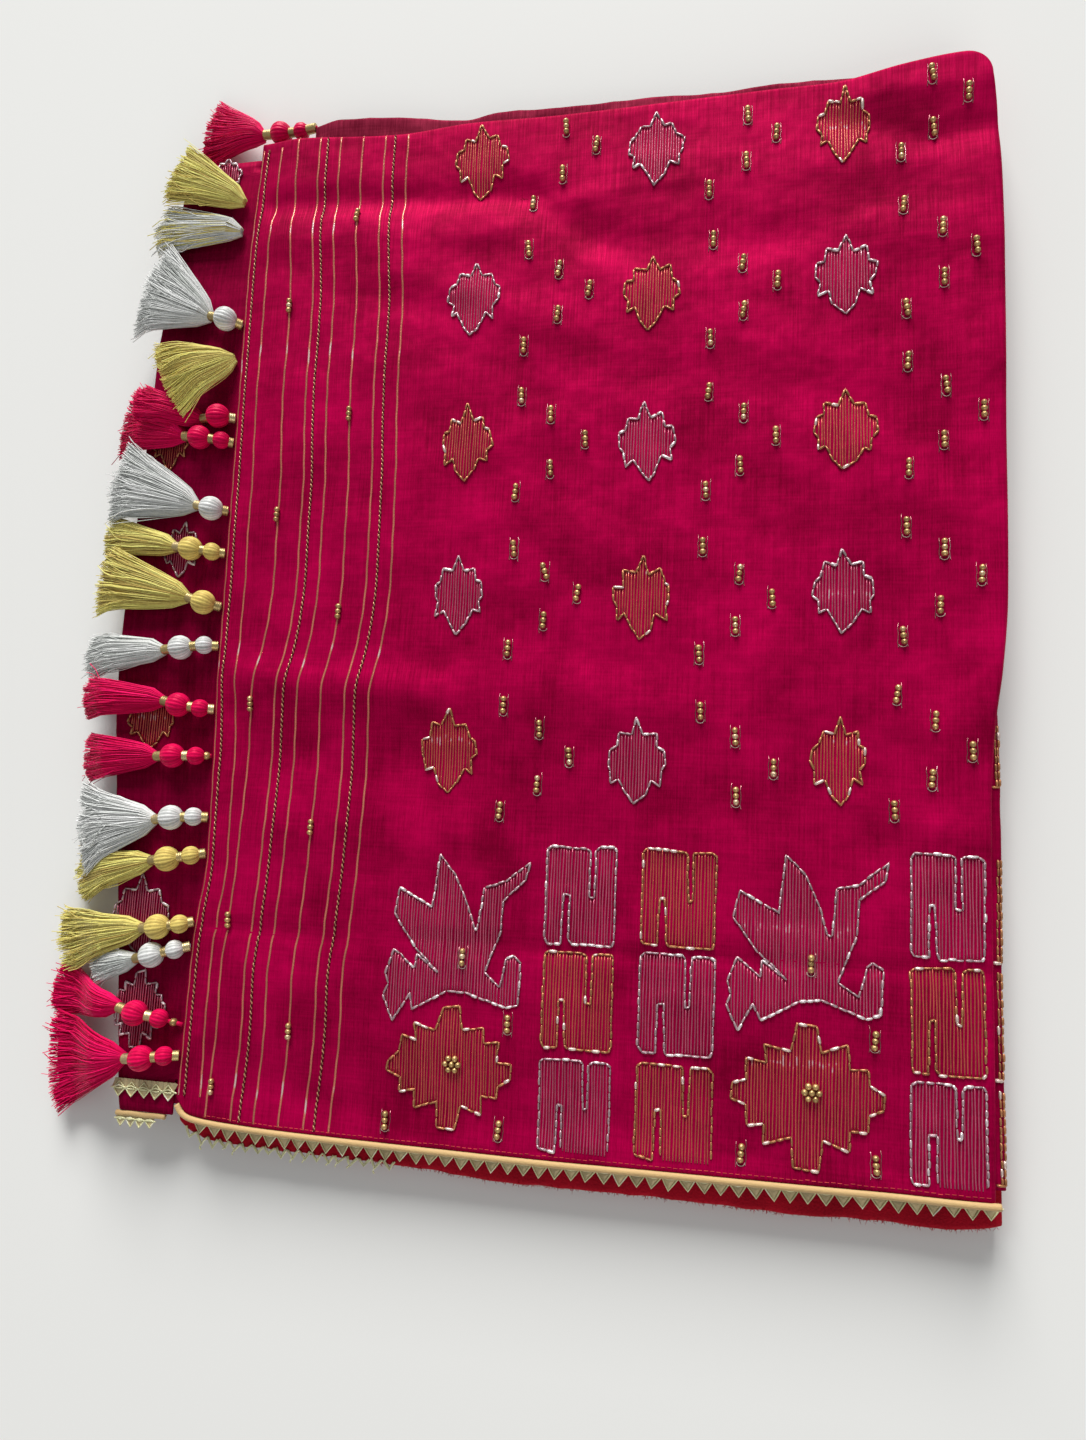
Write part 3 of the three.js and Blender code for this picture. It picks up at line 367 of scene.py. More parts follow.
def walk(corners, step):
    """Points along a line of corners, about a step apart, with every corner kept."""
    corners = [np.asarray(corner, float) for corner in corners]
    points = []
    for a, b in zip(corners, corners[1:]):
        count = max(1, round(float(np.linalg.norm(b - a)) / step))
        points.extend(a + (b - a) * k / count for k in range(count))
    points.append(corners[-1])
    return np.array(points)


# ------------------------------------------------------------------ the top panel's form

def piping_y(x):
    """Where the middle of the hem's piping runs."""
    return along(PIPING_LINE, x)


def hem_y(x):
    """Where the top panel ends at the hem, behind its piping."""
    return piping_y(x) + np.where(np.asarray(x) < -200, 3.6, PIPING_RADIUS + GAP)


def panel_height(x, y):
    """Height of the top panel's upper side, before it rolls over a fold."""
    x, y = np.broadcast_arrays(np.asarray(x, float), np.asarray(y, float))
    settle = np.clip(np.minimum((y - hem_y(x)) / 10, (x + 204) / 10), 0, 1)
    rise = np.zeros_like(x)
    for x1, y1, x2, y2, half, height in CREASES:
        length = math.hypot(x2 - x1, y2 - y1)
        t = ((x - x1) * (x2 - x1) + (y - y1) * (y2 - y1)) / length
        off = ((x - x1) * (y2 - y1) - (y - y1) * (x2 - x1)) / length
        past = np.maximum(0, np.maximum(-t, t - length))
        rise += height * np.exp(-(off / half) ** 2 - (past / (2 * half)) ** 2)
    right = mix(HEM_DROP, HEM_DROP_RIGHT, smooth((x - 150) / 45))
    depth = mix(PALLU_DROP, right, smooth((x + 188) / 24))
    hem = depth * along(HEM_PROFILE, y - hem_y(x))
    pallu = PALLU_DROP * (1 - smooth((x - along(LEFT_EDGE, y)) / PALLU_REACH))
    return TOP + rise * settle - np.maximum(hem, pallu)


def roll_over(distance):
    """How far out and down the cloth lies at a distance past the inner line of a rolled fold."""
    angle = np.clip((distance - CORNER) / ROLL, 0, math.pi)
    out = np.where(distance <= CORNER, distance, CORNER + ROLL * np.sin(angle))
    out = np.where(distance > CORNER + math.pi * ROLL, CORNER - (distance - CORNER - math.pi * ROLL),
                   out)
    return out, (1 - np.cos(angle)) / 2, angle


def on_panel(points, lift=0.0):
    """Places on the top panel, by cloth coordinates, and the cloth's normals there."""
    x, y = np.asarray(points, float).T
    right = along(RIGHT_EDGE, y) - ROLL - CORNER
    back = along(BACK_EDGE, np.minimum(x, right)) - ROLL - CORNER
    over_x, over_y = np.maximum(x - right, 0), np.maximum(y - back, 0)
    base_x, base_y = np.minimum(x, right), np.minimum(y, back)
    distance = np.hypot(over_x, over_y)
    out, fall, angle = roll_over(distance)
    heading_x = over_x / np.maximum(distance, 1e-9)
    heading_y = over_y / np.maximum(distance, 1e-9)
    z = panel_height(base_x, base_y)
    slope_x = (panel_height(base_x + 0.5, base_y) - panel_height(base_x - 0.5, base_y)) * np.cos(angle)
    slope_y = (panel_height(base_x, base_y + 0.5) - panel_height(base_x, base_y - 0.5)) * np.cos(angle)
    normals = unit(np.stack([
        heading_x * np.sin(angle) - slope_x * (over_x == 0),
        heading_y * np.sin(angle) - slope_y * (over_y == 0),
        np.cos(angle)], axis=1))
    places = np.stack([base_x + out * heading_x, base_y + out * heading_y,
                       mix(z, TOP - 2 * ROLL, fall)], axis=1)
    return places + normals * lift, normals


def on_left_stretch(points, lift=0.0):
    """Places on the stretch that sticks out to the left, and its normals there."""
    x, y = np.asarray(points, float).T
    normals = np.tile([0.0, 0.0, 1.0], (len(x), 1))
    return np.stack([x, y, np.full_like(x, UNDER_TOP + lift)], axis=1), normals


def wandered(points):
    """Cloth coordinates moved as the weave is: the yarns don't run quite straight."""
    points = np.array(points, float)
    x, y = points[..., 0], points[..., 1]
    left = smooth((-60 - x) / 50)
    right = smooth((x - 120) / 40)
    points[..., 0] = x + along(STRIPE_WANDER, y) * left + along(RIGHT_WANDER, y) * right
    return points


# ------------------------------------------------------------------ meshes

def new_piece(name, points, faces, material, uv=None, shade=None, edges=()):
    """A mesh object at the origin, its place in its mesh. Points are the stack's millimetres."""
    mesh = bpy.data.meshes.new(name)
    mesh.from_pydata(metres(points).tolist(), list(edges), [tuple(int(i) for i in f) for f in faces])
    if uv is not None:
        layer = mesh.uv_layers.new(name="UVMap")
        loops = np.empty(len(mesh.loops), np.int32)
        mesh.loops.foreach_get("vertex_index", loops)
        layer.data.foreach_set("uv", (np.asarray(uv, float)[loops] * MM).ravel())
    if shade is not None:
        attribute = mesh.attributes.new("shade", "FLOAT", "POINT")
        attribute.data.foreach_set("value", np.asarray(shade, np.float32))
    if len(mesh.polygons):
        mesh.polygons.foreach_set("use_smooth", np.ones(len(mesh.polygons), bool))
    mesh.update()
    piece = bpy.data.objects.new(name, mesh)
    if material is not None:
        mesh.materials.append(material)
    bpy.context.scene.collection.objects.link(piece)
    return piece


def joined(parts):
    """Points and faces of several bodies put together."""
    points, faces, offset = [], [], 0
    for part_points, part_faces in parts:
        points.append(np.asarray(part_points, float))
        faces.extend(tuple(i + offset for i in face) for face in part_faces)
        offset += len(part_points)
    return np.concatenate(points), faces


def wall(outer, inner):
    """A closed cloth wall between two grids of points."""
    rows, columns = outer.shape[:2]
    half = rows * columns
    index = np.arange(half).reshape(rows, columns)
    quads = np.stack([index[:-1, :-1], index[:-1, 1:], index[1:, 1:], index[1:, :-1]], -1).reshape(-1, 4)
    rim = np.concatenate([index[0, :-1], index[:-1, -1], index[-1, :0:-1], index[:0:-1, 0]])
    after = np.roll(rim, -1)
    sides = np.stack([rim, rim + half, after + half, after], 1)
    faces = np.concatenate([quads, quads[:, ::-1] + half, sides])
    return np.concatenate([outer.reshape(-1, 3), inner.reshape(-1, 3)]), faces


def grid_normals(grid):
    """Upward directions at the points of a grid."""
    across = np.gradient(grid, axis=1)
    onward = np.gradient(grid, axis=0)
    return unit(np.cross(across, onward))


def tube(rings):
    """A closed body through rings of the same number of points."""
    rings = np.asarray(rings, float)
    count, sides = rings.shape[:2]
    index = np.arange(count * sides).reshape(count, sides)
    turned = np.roll(index, -1, axis=1)
    faces = np.stack([index[:-1], turned[:-1], turned[1:], index[1:]], -1).reshape(-1, 4).tolist()
    faces.append(index[0, ::-1].tolist())
    faces.append(index[-1].tolist())
    return rings.reshape(-1, 3), faces


def round_rings(path, radii, sides, swell=1.0):
    """Rings round a path. Swell changes the radius with the turn, such as for grooves."""
    path = np.asarray(path, float)
    heading = unit(np.gradient(path, axis=0))
    side = unit(np.cross(np.array([0.0, 0.0, 1.0]), heading))
    up = np.cross(heading, side)
    turns = np.arange(sides) * 2 * math.pi / sides
    reach = np.asarray(radii, float)[:, None] * np.broadcast_to(swell, (len(path), sides))
    return (path[:, None, :] + side[:, None, :] * (reach * np.cos(turns))[..., None]
            + up[:, None, :] * (reach * np.sin(turns))[..., None])


def ribbon(places, normals, width, thickness):
    """A thin flat yarn on a surface, as a closed body."""
    heading = unit(np.gradient(places, axis=0))
    side = unit(np.cross(normals, heading)) * width / 2
    up = normals * thickness
    rings = np.stack([places - side, places + side, places + side + up, places - side + up], axis=1)
    return tube(rings[:, ::-1])


# ------------------------------------------------------------------ node trees

class Socket:
    """A node's output that can be used in Python sums."""

    def __init__(self, graph, link):
        self.graph, self.link = graph, link

    def _sum(self, operation, a, b):
        return self.graph.node("ShaderNodeMath", {"operation": operation}, {0: a, 1: b})[0]

    def __add__(self, other):
        return self._sum("ADD", self, other)

    def __radd__(self, other):
        return self._sum("ADD", other, self)

    def __sub__(self, other):
        return self._sum("SUBTRACT", self, other)

    def __rsub__(self, other):
        return self._sum("SUBTRACT", other, self)

    def __mul__(self, other):
        return self._sum("MULTIPLY", self, other)

    def __rmul__(self, other):
        return self._sum("MULTIPLY", other, self)


class Placed:
    """A node in a graph, whose outputs are read by name or number."""

    def __init__(self, graph, node):
        self.graph, self.raw = graph, node

    def __getitem__(self, key):
        return Socket(self.graph, self.raw.outputs[key])


class Graph:
    """Writes a node tree."""

    def __init__(self, tree):
        self.tree = tree

    def node(self, kind, options=None, values=None):
        node = self.tree.nodes.new(kind)
        for key, value in (options or {}).items():
            setattr(node, key, value)
        for key, value in (values or {}).items():
            if isinstance(value, Socket):
                self.tree.links.new(value.link, node.inputs[key])
            else:
                node.inputs[key].default_value = value
        return Placed(self, node)

    def blend(self, factor, a, b):
        """A colour between two colours."""
        return self.node("ShaderNodeMix", {"data_type": "RGBA"}, {0: factor, 6: a, 7: b})[2]

    def stretched(self, vector, factors):
        return self.node("ShaderNodeVectorMath", {"operation": "MULTIPLY"}, {0: vector, 1: factors})[0]

    def noise(self, vector, scale, detail=2.0):
        return self.node("ShaderNodeTexNoise", {},
                         {"Vector": vector, "Scale": scale, "Detail": detail})["Fac"]

    def ranged(self, value, low, high, to_low=0.0, to_high=1.0):
        return self.node("ShaderNodeMapRange", {}, {
            "Value": value, "From Min": low, "From Max": high, "To Min": to_low, "To Max": to_high,
        })["Result"]

    def bump(self, height, distance, strength=1.0):
        return self.node("ShaderNodeBump", {}, {
            "Height": height, "Distance": distance, "Strength": strength})["Normal"]


def opaque(colour):
    return (*colour, 1.0)


def scaled(colour, factor):
    return tuple(min(1.0, channel * factor) for channel in colour)


def material(name, build, **constants):
    """A material of one Principled shader. build returns what varies over the surface."""
    made = bpy.data.materials.get(name)
    if made:
        return made
    made = bpy.data.materials.new(name)
    made.use_nodes = True
    made.node_tree.nodes.clear()
    graph = Graph(made.node_tree)
    values = {key.replace("_", " "): value for key, value in constants.items()}
    values.update(build(graph))
    shader = graph.node("ShaderNodeBsdfPrincipled", {}, values)
    graph.node("ShaderNodeOutputMaterial", {}, {"Surface": shader["BSDF"]})
    return made


def silk(name="pallu_silk", painted_shade=1.0, paleness=0.0):
    """Magenta silk with long slubs down its length, over a softly uneven tone."""
    cloth = settings("silk")

    def build(graph):
        uv = graph.node("ShaderNodeUVMap", {"uv_map": "UVMap"})["UV"]
        fine = 1 / cloth.yarn
        slub = graph.noise(graph.stretched(uv, (1.0, 0.022, 1.0)), fine, 3.0)
        yarn = graph.noise(graph.stretched(uv, (1.0, 0.12, 1.0)), fine * 2.2, 1.0)
        weft = graph.noise(graph.stretched(uv, (0.05, 1.0, 1.0)), fine * 0.7, 2.0)
        cloud = graph.noise(uv, 16.0, 3.0)
        blotch = graph.noise(uv, 42.0, 2.0)
        tone = (0.46 + (slub - 0.5) * 1.0 + (yarn - 0.5) * 0.6 + (weft - 0.5) * 0.5
                + (cloud - 0.5) * 1.5 + (blotch - 0.5) * 1.0)
        # A factor below one darkens this copy of the silk for a lower layer: painted shade. The other mixes
        # it towards a dull, pale pink.
        bright = mix(np.array(scaled(cloth.bright, painted_shade)), np.array([0.5, 0.2, 0.22]), paleness)
        deep = mix(np.array(scaled(cloth.deep, painted_shade)), np.array([0.2, 0.03, 0.06]), paleness)
        height = slub * 0.6 + yarn * 0.3 + weft * 0.1
        return {
            "Base Color": graph.blend(tone, opaque(deep), opaque(bright)),
            "Roughness": graph.ranged(slub, 0.3, 0.7, 0.66, 0.54),
            "Normal": graph.bump(height * 0.1 + blotch, 0.004, 0.5),
        }

    return material(name, build, Metallic=0.3, Specular_IOR_Level=0.04, Sheen_Weight=0.06,
                    Sheen_Roughness=0.4, Sheen_Tint=(0.9, 0.02, 0.2, 1.0),
                    Specular_Tint=(1.0, 0.03, 0.25, 1.0))


def velvet():
    """Red nap of the lining."""
    cloth = settings("silk")

    def build(graph):
        place = graph.node("ShaderNodeTexCoord")["Object"]
        nap = graph.noise(place, 900.0, 3.0)
        patch = graph.noise(place, 60.0, 2.0)
        tone = 0.15 + nap * 0.55 + (patch - 0.4) * 0.7
        return {
            "Base Color": graph.blend(tone, opaque(scaled(cloth.lining, 0.3)), opaque(cloth.lining)),
            "Normal": graph.bump(nap, 0.0008, 0.7),
        }

    return material("red_nap", build, Roughness=0.9, Specular_IOR_Level=0.1, Sheen_Weight=0.6,
                    Sheen_Roughness=0.4, Sheen_Tint=(1.0, 0.1, 0.12, 1.0))


def piping_silk():
    """Tan silk of the piping, drawn tight on its cord."""
    cloth = settings("silk")

    def build(graph):
        place = graph.node("ShaderNodeTexCoord")["Object"]
        twill = graph.noise(graph.stretched(place, (0.35, 1.0, 1.0)), 1500.0, 2.0)
        wear = graph.noise(place, 45.0, 2.0)
        tone = 0.35 + (twill - 0.5) * 0.8 + wear * 0.3
        return {
            "Base Color": graph.blend(tone, opaque(scaled(cloth.piping, 0.72)), opaque(cloth.piping)),
            "Normal": graph.bump(twill, 0.0003, 0.5),
        }

    return material("tan_piping", build, Roughness=0.6, Specular_IOR_Level=0.3, Sheen_Weight=0.15)


def wire(name, colour, roughness=0.32, metallic=0.9, ridges=2600.0):
    """Coiled or drawn metal wire, its tone uneven from piece to piece."""
    def build(graph):
        place = graph.node("ShaderNodeTexCoord")["Object"]
        shade = graph.node("ShaderNodeAttribute", {"attribute_name": "shade"})["Fac"]
        grain = graph.noise(place, ridges, 1.0)
        tone = shade * 0.75 + grain * 0.35
        plain = graph.blend(tone, opaque(scaled(colour, 0.42)), opaque(scaled(colour, 1.12)))
        # Where the shade runs above 0.82 the wire goes pale: a painted glint.
        glint = graph.ranged(shade, 0.82, 1.0)
        pale = tuple(mix(np.array(colour), 0.95, 0.55))
        return {
            "Base Color": graph.blend(glint, plain, opaque(pale)),
            "Roughness": graph.ranged(grain, 0.3, 0.7, roughness * 0.8, roughness * 1.3),
            "Normal": graph.bump(grain, 0.00025, 0.5),
        }

    return material(name, build, Metallic=metallic)


def thread(name, colour, roughness=0.46):
    """Floss silk: each thread has its own tone, and a soft gleam along it."""
    def build(graph):
        place = graph.node("ShaderNodeTexCoord")["Object"]
        shade = graph.node("ShaderNodeAttribute", {"attribute_name": "shade"})["Fac"]
        fleck = graph.noise(place, 700.0, 2.0)
        # Each thread's tone is its own; the light end of the range, 1.6 times the colour, stands for glints
        # on the floss: painted highlight.
        tone = 0.05 + shade * 0.8 + (fleck - 0.5) * 0.5
        return {
            "Base Color": graph.blend(tone, opaque(scaled(colour, 0.52)), opaque(scaled(colour, 1.6))),
            "Roughness": graph.ranged(fleck, 0.3, 0.7, roughness, roughness * 1.35),
            "Normal": graph.bump(fleck, 0.0002, 0.3),
        }

    tint = tuple(np.array(colour) / max(colour))
    return material(name, build, Specular_IOR_Level=0.5, Specular_Tint=opaque(tint), Sheen_Weight=0.1,
                    Sheen_Tint=opaque(tint))


def new_tree(name, inputs):
    """An empty geometry tree with named inputs, its graph, and its input node."""
    tree = bpy.data.node_groups.new(name, "GeometryNodeTree")
    tree.interface.new_socket("Geometry", in_out="INPUT", socket_type="NodeSocketGeometry")
    for label, kind, default in inputs:
        socket = tree.interface.new_socket(label, in_out="INPUT", socket_type=kind)
        if default is not None:
            socket.default_value = default
    tree.interface.new_socket("Geometry", in_out="OUTPUT", socket_type="NodeSocketGeometry")
    graph = Graph(tree)
    return tree, graph, graph.node("NodeGroupInput")


def finish_tree(graph, geometry, paint):
    """Ends a tree: real geometry, shaded smooth, with its material."""
    solid = graph.node("GeometryNodeRealizeInstances", {}, {"Geometry": geometry})["Geometry"]
    smoothed = graph.node("GeometryNodeSetShadeSmooth", {}, {0: solid})[0]
    painted = graph.node("GeometryNodeSetMaterial", {}, {"Geometry": smoothed, "Material": paint})
    graph.node("NodeGroupOutput", {}, {"Geometry": painted["Geometry"]})


def named_value(graph, name):
    """A number kept at each point of the geometry."""
    return graph.node("GeometryNodeInputNamedAttribute", {"data_type": "FLOAT"}, {"Name": name})[0]


def thread_tree():
    """A round thread along each line, as thick at each point as its width says."""
    name = "threads_on_lines"
    if name in bpy.data.node_groups:
        return bpy.data.node_groups[name]
    tree, graph, given = new_tree(name, [
        ("Radius", "NodeSocketFloat", 0.0003), ("Sides", "NodeSocketInt", 3),
        ("Material", "NodeSocketMaterial", None)])
    curve = graph.node("GeometryNodeMeshToCurve", {}, {"Mesh": given["Geometry"]})["Curve"]
    profile = graph.node("GeometryNodeCurvePrimitiveCircle", {}, {
        "Resolution": given["Sides"], "Radius": given["Radius"]})["Curve"]
    mesh = graph.node("GeometryNodeCurveToMesh", {}, {
        "Curve": curve, "Profile Curve": profile, "Scale": named_value(graph, "width"),
        "Fill Caps": True})["Mesh"]
    finish_tree(graph, mesh, given["Material"])
    return tree


def bead_tree():
    """A round bead at each point."""
    name = "beads_on_points"
    if name in bpy.data.node_groups:
        return bpy.data.node_groups[name]
    tree, graph, given = new_tree(name, [
        ("Radius", "NodeSocketFloat", 0.0012), ("Seed", "NodeSocketInt", 5),
        ("Material", "NodeSocketMaterial", None)])
    points = graph.node("GeometryNodeMeshToPoints", {}, {"Mesh": given["Geometry"]})["Points"]
    ball = graph.node("GeometryNodeMeshUVSphere", {}, {
        "Segments": 12, "Rings": 8, "Radius": given["Radius"]})["Mesh"]
    size = graph.node("FunctionNodeRandomValue", {"data_type": "FLOAT_VECTOR"}, {
        0: (0.92, 0.9, 0.9), 1: (1.06, 1.04, 1.0), "Seed": given["Seed"]})[0]
    laid = graph.node("GeometryNodeInstanceOnPoints", {}, {
        "Points": points, "Instance": ball, "Scale": size})["Instances"]
    tone = graph.node("FunctionNodeRandomValue", {"data_type": "FLOAT"}, {
        2: 0.2, 3: 0.9, "Seed": given["Seed"]})[1]
    toned = graph.node("GeometryNodeStoreNamedAttribute", {
        "data_type": "FLOAT", "domain": "INSTANCE"}, {"Geometry": laid, "Name": "shade", "Value": tone})
    finish_tree(graph, toned["Geometry"], given["Material"])
    return tree


def grow(name, tree, paths, inputs, widths=None, shades=None):
    """A piece grown by a tree from points and the lines between them."""
    points, edges, offset = [], [], 0
    for path in paths:
        count = len(path)
        points.append(path)
        edges.extend((offset + k, offset + k + 1) for k in range(count - 1))
        offset += count
    points = np.concatenate(points)
    piece = new_piece(name, points, [], None, edges=edges)
    for key, values in (("width", widths), ("shade", shades)):
        if values is not None or key == "width":
            attribute = piece.data.attributes.new(key, "FLOAT", "POINT")
            given = np.ones(len(points)) if values is None else np.concatenate(values)
            attribute.data.foreach_set("value", given.astype(np.float32))
    modifier = piece.modifiers.new(tree.name, "NODES")
    modifier.node_group = tree
    for item in tree.interface.items_tree:
        if item.item_type == "SOCKET" and item.in_out == "INPUT" and item.name in inputs:
            modifier[item.identifier] = inputs[item.name]
    graph = bpy.context.evaluated_depsgraph_get()
    grown = bpy.data.meshes.new_from_object(piece.evaluated_get(graph))
    piece.modifiers.clear()
    piece.data = grown
    if not len(grown.polygons):
        raise RuntimeError(f"{name} grew nothing")
    return piece


def strands(name, paths, radius, sides, paint, widths=None, shades=None):
    """Threads or wires along paths, their radius in metres."""
    inputs = {"Radius": radius, "Sides": sides, "Material": paint}
    return grow(name, thread_tree(), paths, inputs, widths, shades)


def settle(piece, slot, *nodes):
    """The piece rides with the saree and stands for the nodes named. The slot is not used."""
    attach(piece, "root")
    if nodes:
        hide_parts(*nodes)


# ------------------------------------------------------------------ cloth

def fold_steps():
    """Distances past the inner line of a rolled fold where the cloth has points."""
    flat = [CORNER * k / 4 for k in range(1, 5)]
    turn = [CORNER + ROLL * math.radians(a) for a in range(15, 181, 15)]
    tuck = [CORNER + math.pi * ROLL + TUCK * k / 3 for k in range(1, 4)]
    return np.array(flat + turn + tuck)


def top_panel():
    """The panel on top, from the pallu's end to the fold at the right, rolled over two folds."""
    steps = fold_steps()
    across = np.linspace(0, 1, 138)
    upward = np.concatenate([np.linspace(0, 0.07, 24, endpoint=False), np.linspace(0.07, 1, 176)])
    nominal = mix(-282, 273, upward)
    left = along(LEFT_EDGE, nominal)[:, None]
    right = (along(RIGHT_EDGE, nominal) - ROLL - CORNER)[:, None]
    x = mix(left, right, across[None, :])
    back = along(BACK_EDGE, x) - ROLL - CORNER
    y = mix(hem_y(x), back, upward[:, None])
    # Past the flat part, every row and column goes on from its last point and rolls over.
    over_x = np.maximum(np.arange(len(across) + len(steps)) - len(across) + 1, 0)[None, :]
    over_y = np.maximum(np.arange(len(upward) + len(steps)) - len(upward) + 1, 0)[:, None]
    pad = ((0, len(steps)), (0, len(steps)))
    base = np.stack([np.pad(flat, pad, "edge") for flat in (x, y, panel_height(x, y))], -1)
    over = np.maximum(over_x, over_y)
    share = np.minimum(over_x, over_y) / np.maximum(over, 1)
    turn = math.pi / 4 * np.where(over_y <= over_x, share, 2 - share)
    distance = np.concatenate([[0.0], steps])[over]
    out, fall, _ = roll_over(distance)
    heading = np.stack([np.cos(turn), np.sin(turn)], -1)
    height = mix(base[..., 2], TOP - 2 * ROLL, fall)
    grid = np.concatenate([base[..., :2] + heading * out[..., None], height[..., None]], -1)
    cloth = base[..., :2] + heading * distance[..., None]
    points, faces = wall(grid, grid - grid_normals(grid) * WALL)
    uv = np.concatenate([cloth.reshape(-1, 2)] * 2)
    piece = new_piece("pallu_panel", points, faces, silk(), uv)
    settle(piece, "silk", "top_stretch")


def fold_section(edge, upper, lower, top, radius, sag=0.0):
    """A fold seen from its end: the outer line of points, and the inner one."""
    inward = math.copysign(1, upper - edge)
    centre = edge + inward * radius
    turns = np.radians(np.arange(90, -91, -15))

    def line(r, top_z, low_z):
        arc = np.stack([centre - inward * r * np.cos(turns), top - radius + r * np.sin(turns)], 1)
        upper_leg = np.linspace((upper, top_z), arc[0], 7)[:-1]
        upper_leg[:, 1] -= sag * np.sin(np.linspace(0, math.pi, 7)[:-1])
        lower_leg = np.linspace(arc[-1], (lower, low_z), 5)[1:]
        return np.concatenate([upper_leg, arc, lower_leg])

    return line(radius, top, top - 2 * radius), line(radius - WALL, top - WALL, top - 2 * radius + WALL)


def folded_strip(name, places, section, axis, paint, ripple, seed):
    """A folded strip along X or Y, whose edge ripples a little, in and out."""
    rng = np.random.default_rng(seed)
    phase = rng.uniform(0, 6.28, 4)
    outer, inner = [], []
    for at in places:
        options = section(at)
        wave = ripple * (0.6 * math.sin(at / 9 + phase[0]) + 0.4 * math.sin(at / 4.3 + phase[1]))
        options["edge"] -= math.copysign(abs(wave), options["edge"] - options["upper"])
        for lines, line in zip((outer, inner), fold_section(**options)):
            if axis == "x":
                lines.append(np.stack([np.full(len(line), at), line[:, 0], line[:, 1]], 1))
            else:
                lines.append(np.stack([line[:, 0], np.full(len(line), at), line[:, 1]], 1))
    outer, inner = np.array(outer), np.array(inner)
    points, faces = wall(outer, inner)
    run = np.cumsum(np.r_[0, np.linalg.norm(np.diff(outer[0], axis=0), axis=1)])
    if axis == "x":
        cloth = np.stack(np.broadcast_arrays(np.asarray(places)[:, None], run[None, :] + 500), -1)
    else:
        cloth = np.stack(np.broadcast_arrays(run[None, :] - 400, np.asarray(places)[:, None]), -1)
    piece = new_piece(name, points, faces, paint, np.concatenate([cloth.reshape(-1, 2)] * 2))
    outward(piece)
    return piece


def outward(piece):
    """Turns a closed mesh's faces outwards."""
    mesh = piece.data
    mesh.calc_loop_triangles()
    points = np.empty(len(mesh.vertices) * 3)
    mesh.vertices.foreach_get("co", points)
    points = points.reshape(-1, 3)
    corners = np.empty(len(mesh.loop_triangles) * 3, np.int32)
    mesh.loop_triangles.foreach_get("vertices", corners)
    a, b, c = points[corners.reshape(-1, 3)].transpose(1, 0, 2)
    if np.einsum("ij,ij->i", a, np.cross(b, c)).sum() < 0:
        mesh.flip_normals()


def strip_places(low, high, step):
    """Places from low to high, about a step apart."""
    return np.linspace(low, high, max(3, int((high - low) / step)))


def lower_panels():
    """The stretches below that show at the left, beyond the top fold and beside the right fold."""
    def left_section(y):
        edge = float(along(UNDER_LEFT_EDGE, y))
        upper = -205 if y > 262 else -207.5 if y < -264 else -189
        return {"edge": edge, "lower": edge + 12, "upper": upper, "top": UNDER_TOP,
                "radius": UNDER_FOLD, "sag": 0.25}

    def back_section(x):
        return {"edge": float(along(UNDER_BACK_EDGE, x)), "upper": 264, "lower": 264,
                "top": TIER_TOP, "radius": TIER_FOLD}

    def right_section(y):
        return {"edge": float(along(SECOND_FOLD_EDGE, y)), "upper": 180, "lower": 180,
                "top": TIER_TOP, "radius": TIER_FOLD}

    places = np.concatenate([strip_places(-284, -266, 3), strip_places(-262, 260, 3.5),
                             strip_places(263, 270, 3)])
    # The stretches below are darker copies of the silk, at 0.64, 0.5 and 0.9 of its colour: painted shade.
    left = folded_strip("lower_panel_left", places, left_section, "y", silk("silk_under", 0.64),
                        0.5, 21)
    settle(left, "silk", "under_stretch_left")
    back = folded_strip("lower_fold_back", strip_places(-171.6, 176, 3), back_section, "x",
                        silk("silk_worn", 0.5, 0.12), 0.5, 22)
    settle(back, "silk_shade", "under_stretch_top")
    right = folded_strip("lower_fold_right", strip_places(-278, 190, 3.5), right_section, "y",
                         silk("silk_low", 0.9), 0.3, 23)
    settle(right, "silk", "fold_right")


def lining_fold():
    """The red lining strip that shows below the hem, and its nap along the fold."""
    def section(x):
        return {"edge": float(along(LINING_EDGE, x)), "upper": -272, "lower": -272,
                "top": LINING_TOP, "radius": LINING_FOLD}

    piece = folded_strip("lining_fold", strip_places(-126, 206, 2.5), section, "x", velvet(), 0.7, 31)
    settle(piece, "lining", "lining_strip")
    rng = np.random.default_rng(32)
    hairs, widths, shades = [], [], []
    for _ in range(650):
        x = rng.uniform(-125, 205)
        turn = rng.uniform(-0.2, 1.3)
        centre = np.array([x, float(along(LINING_EDGE, x)) + LINING_FOLD, LINING_TOP - LINING_FOLD])
        aim = unit([rng.normal(0, 0.5), -math.cos(turn), math.sin(turn)])
        start = centre + np.array([0, -math.cos(turn), math.sin(turn)]) * (LINING_FOLD - 0.5)
        length = rng.uniform(0.5, 1.7)
        bend = rng.normal(0, 0.35, 3)
        hairs.append(np.array([start, start + aim * length * 0.6, start + (aim + bend) * length]))
        widths.append(np.array([1.0, 0.8, 0.3]))
        shades.append(np.full(3, rng.uniform(0.2, 1)))
    settle(strands("lining_nap", hairs, 0.00017, 3, thread("red_hair", YARNS["red_hair"], 0.8),
                   widths, shades), "lining")


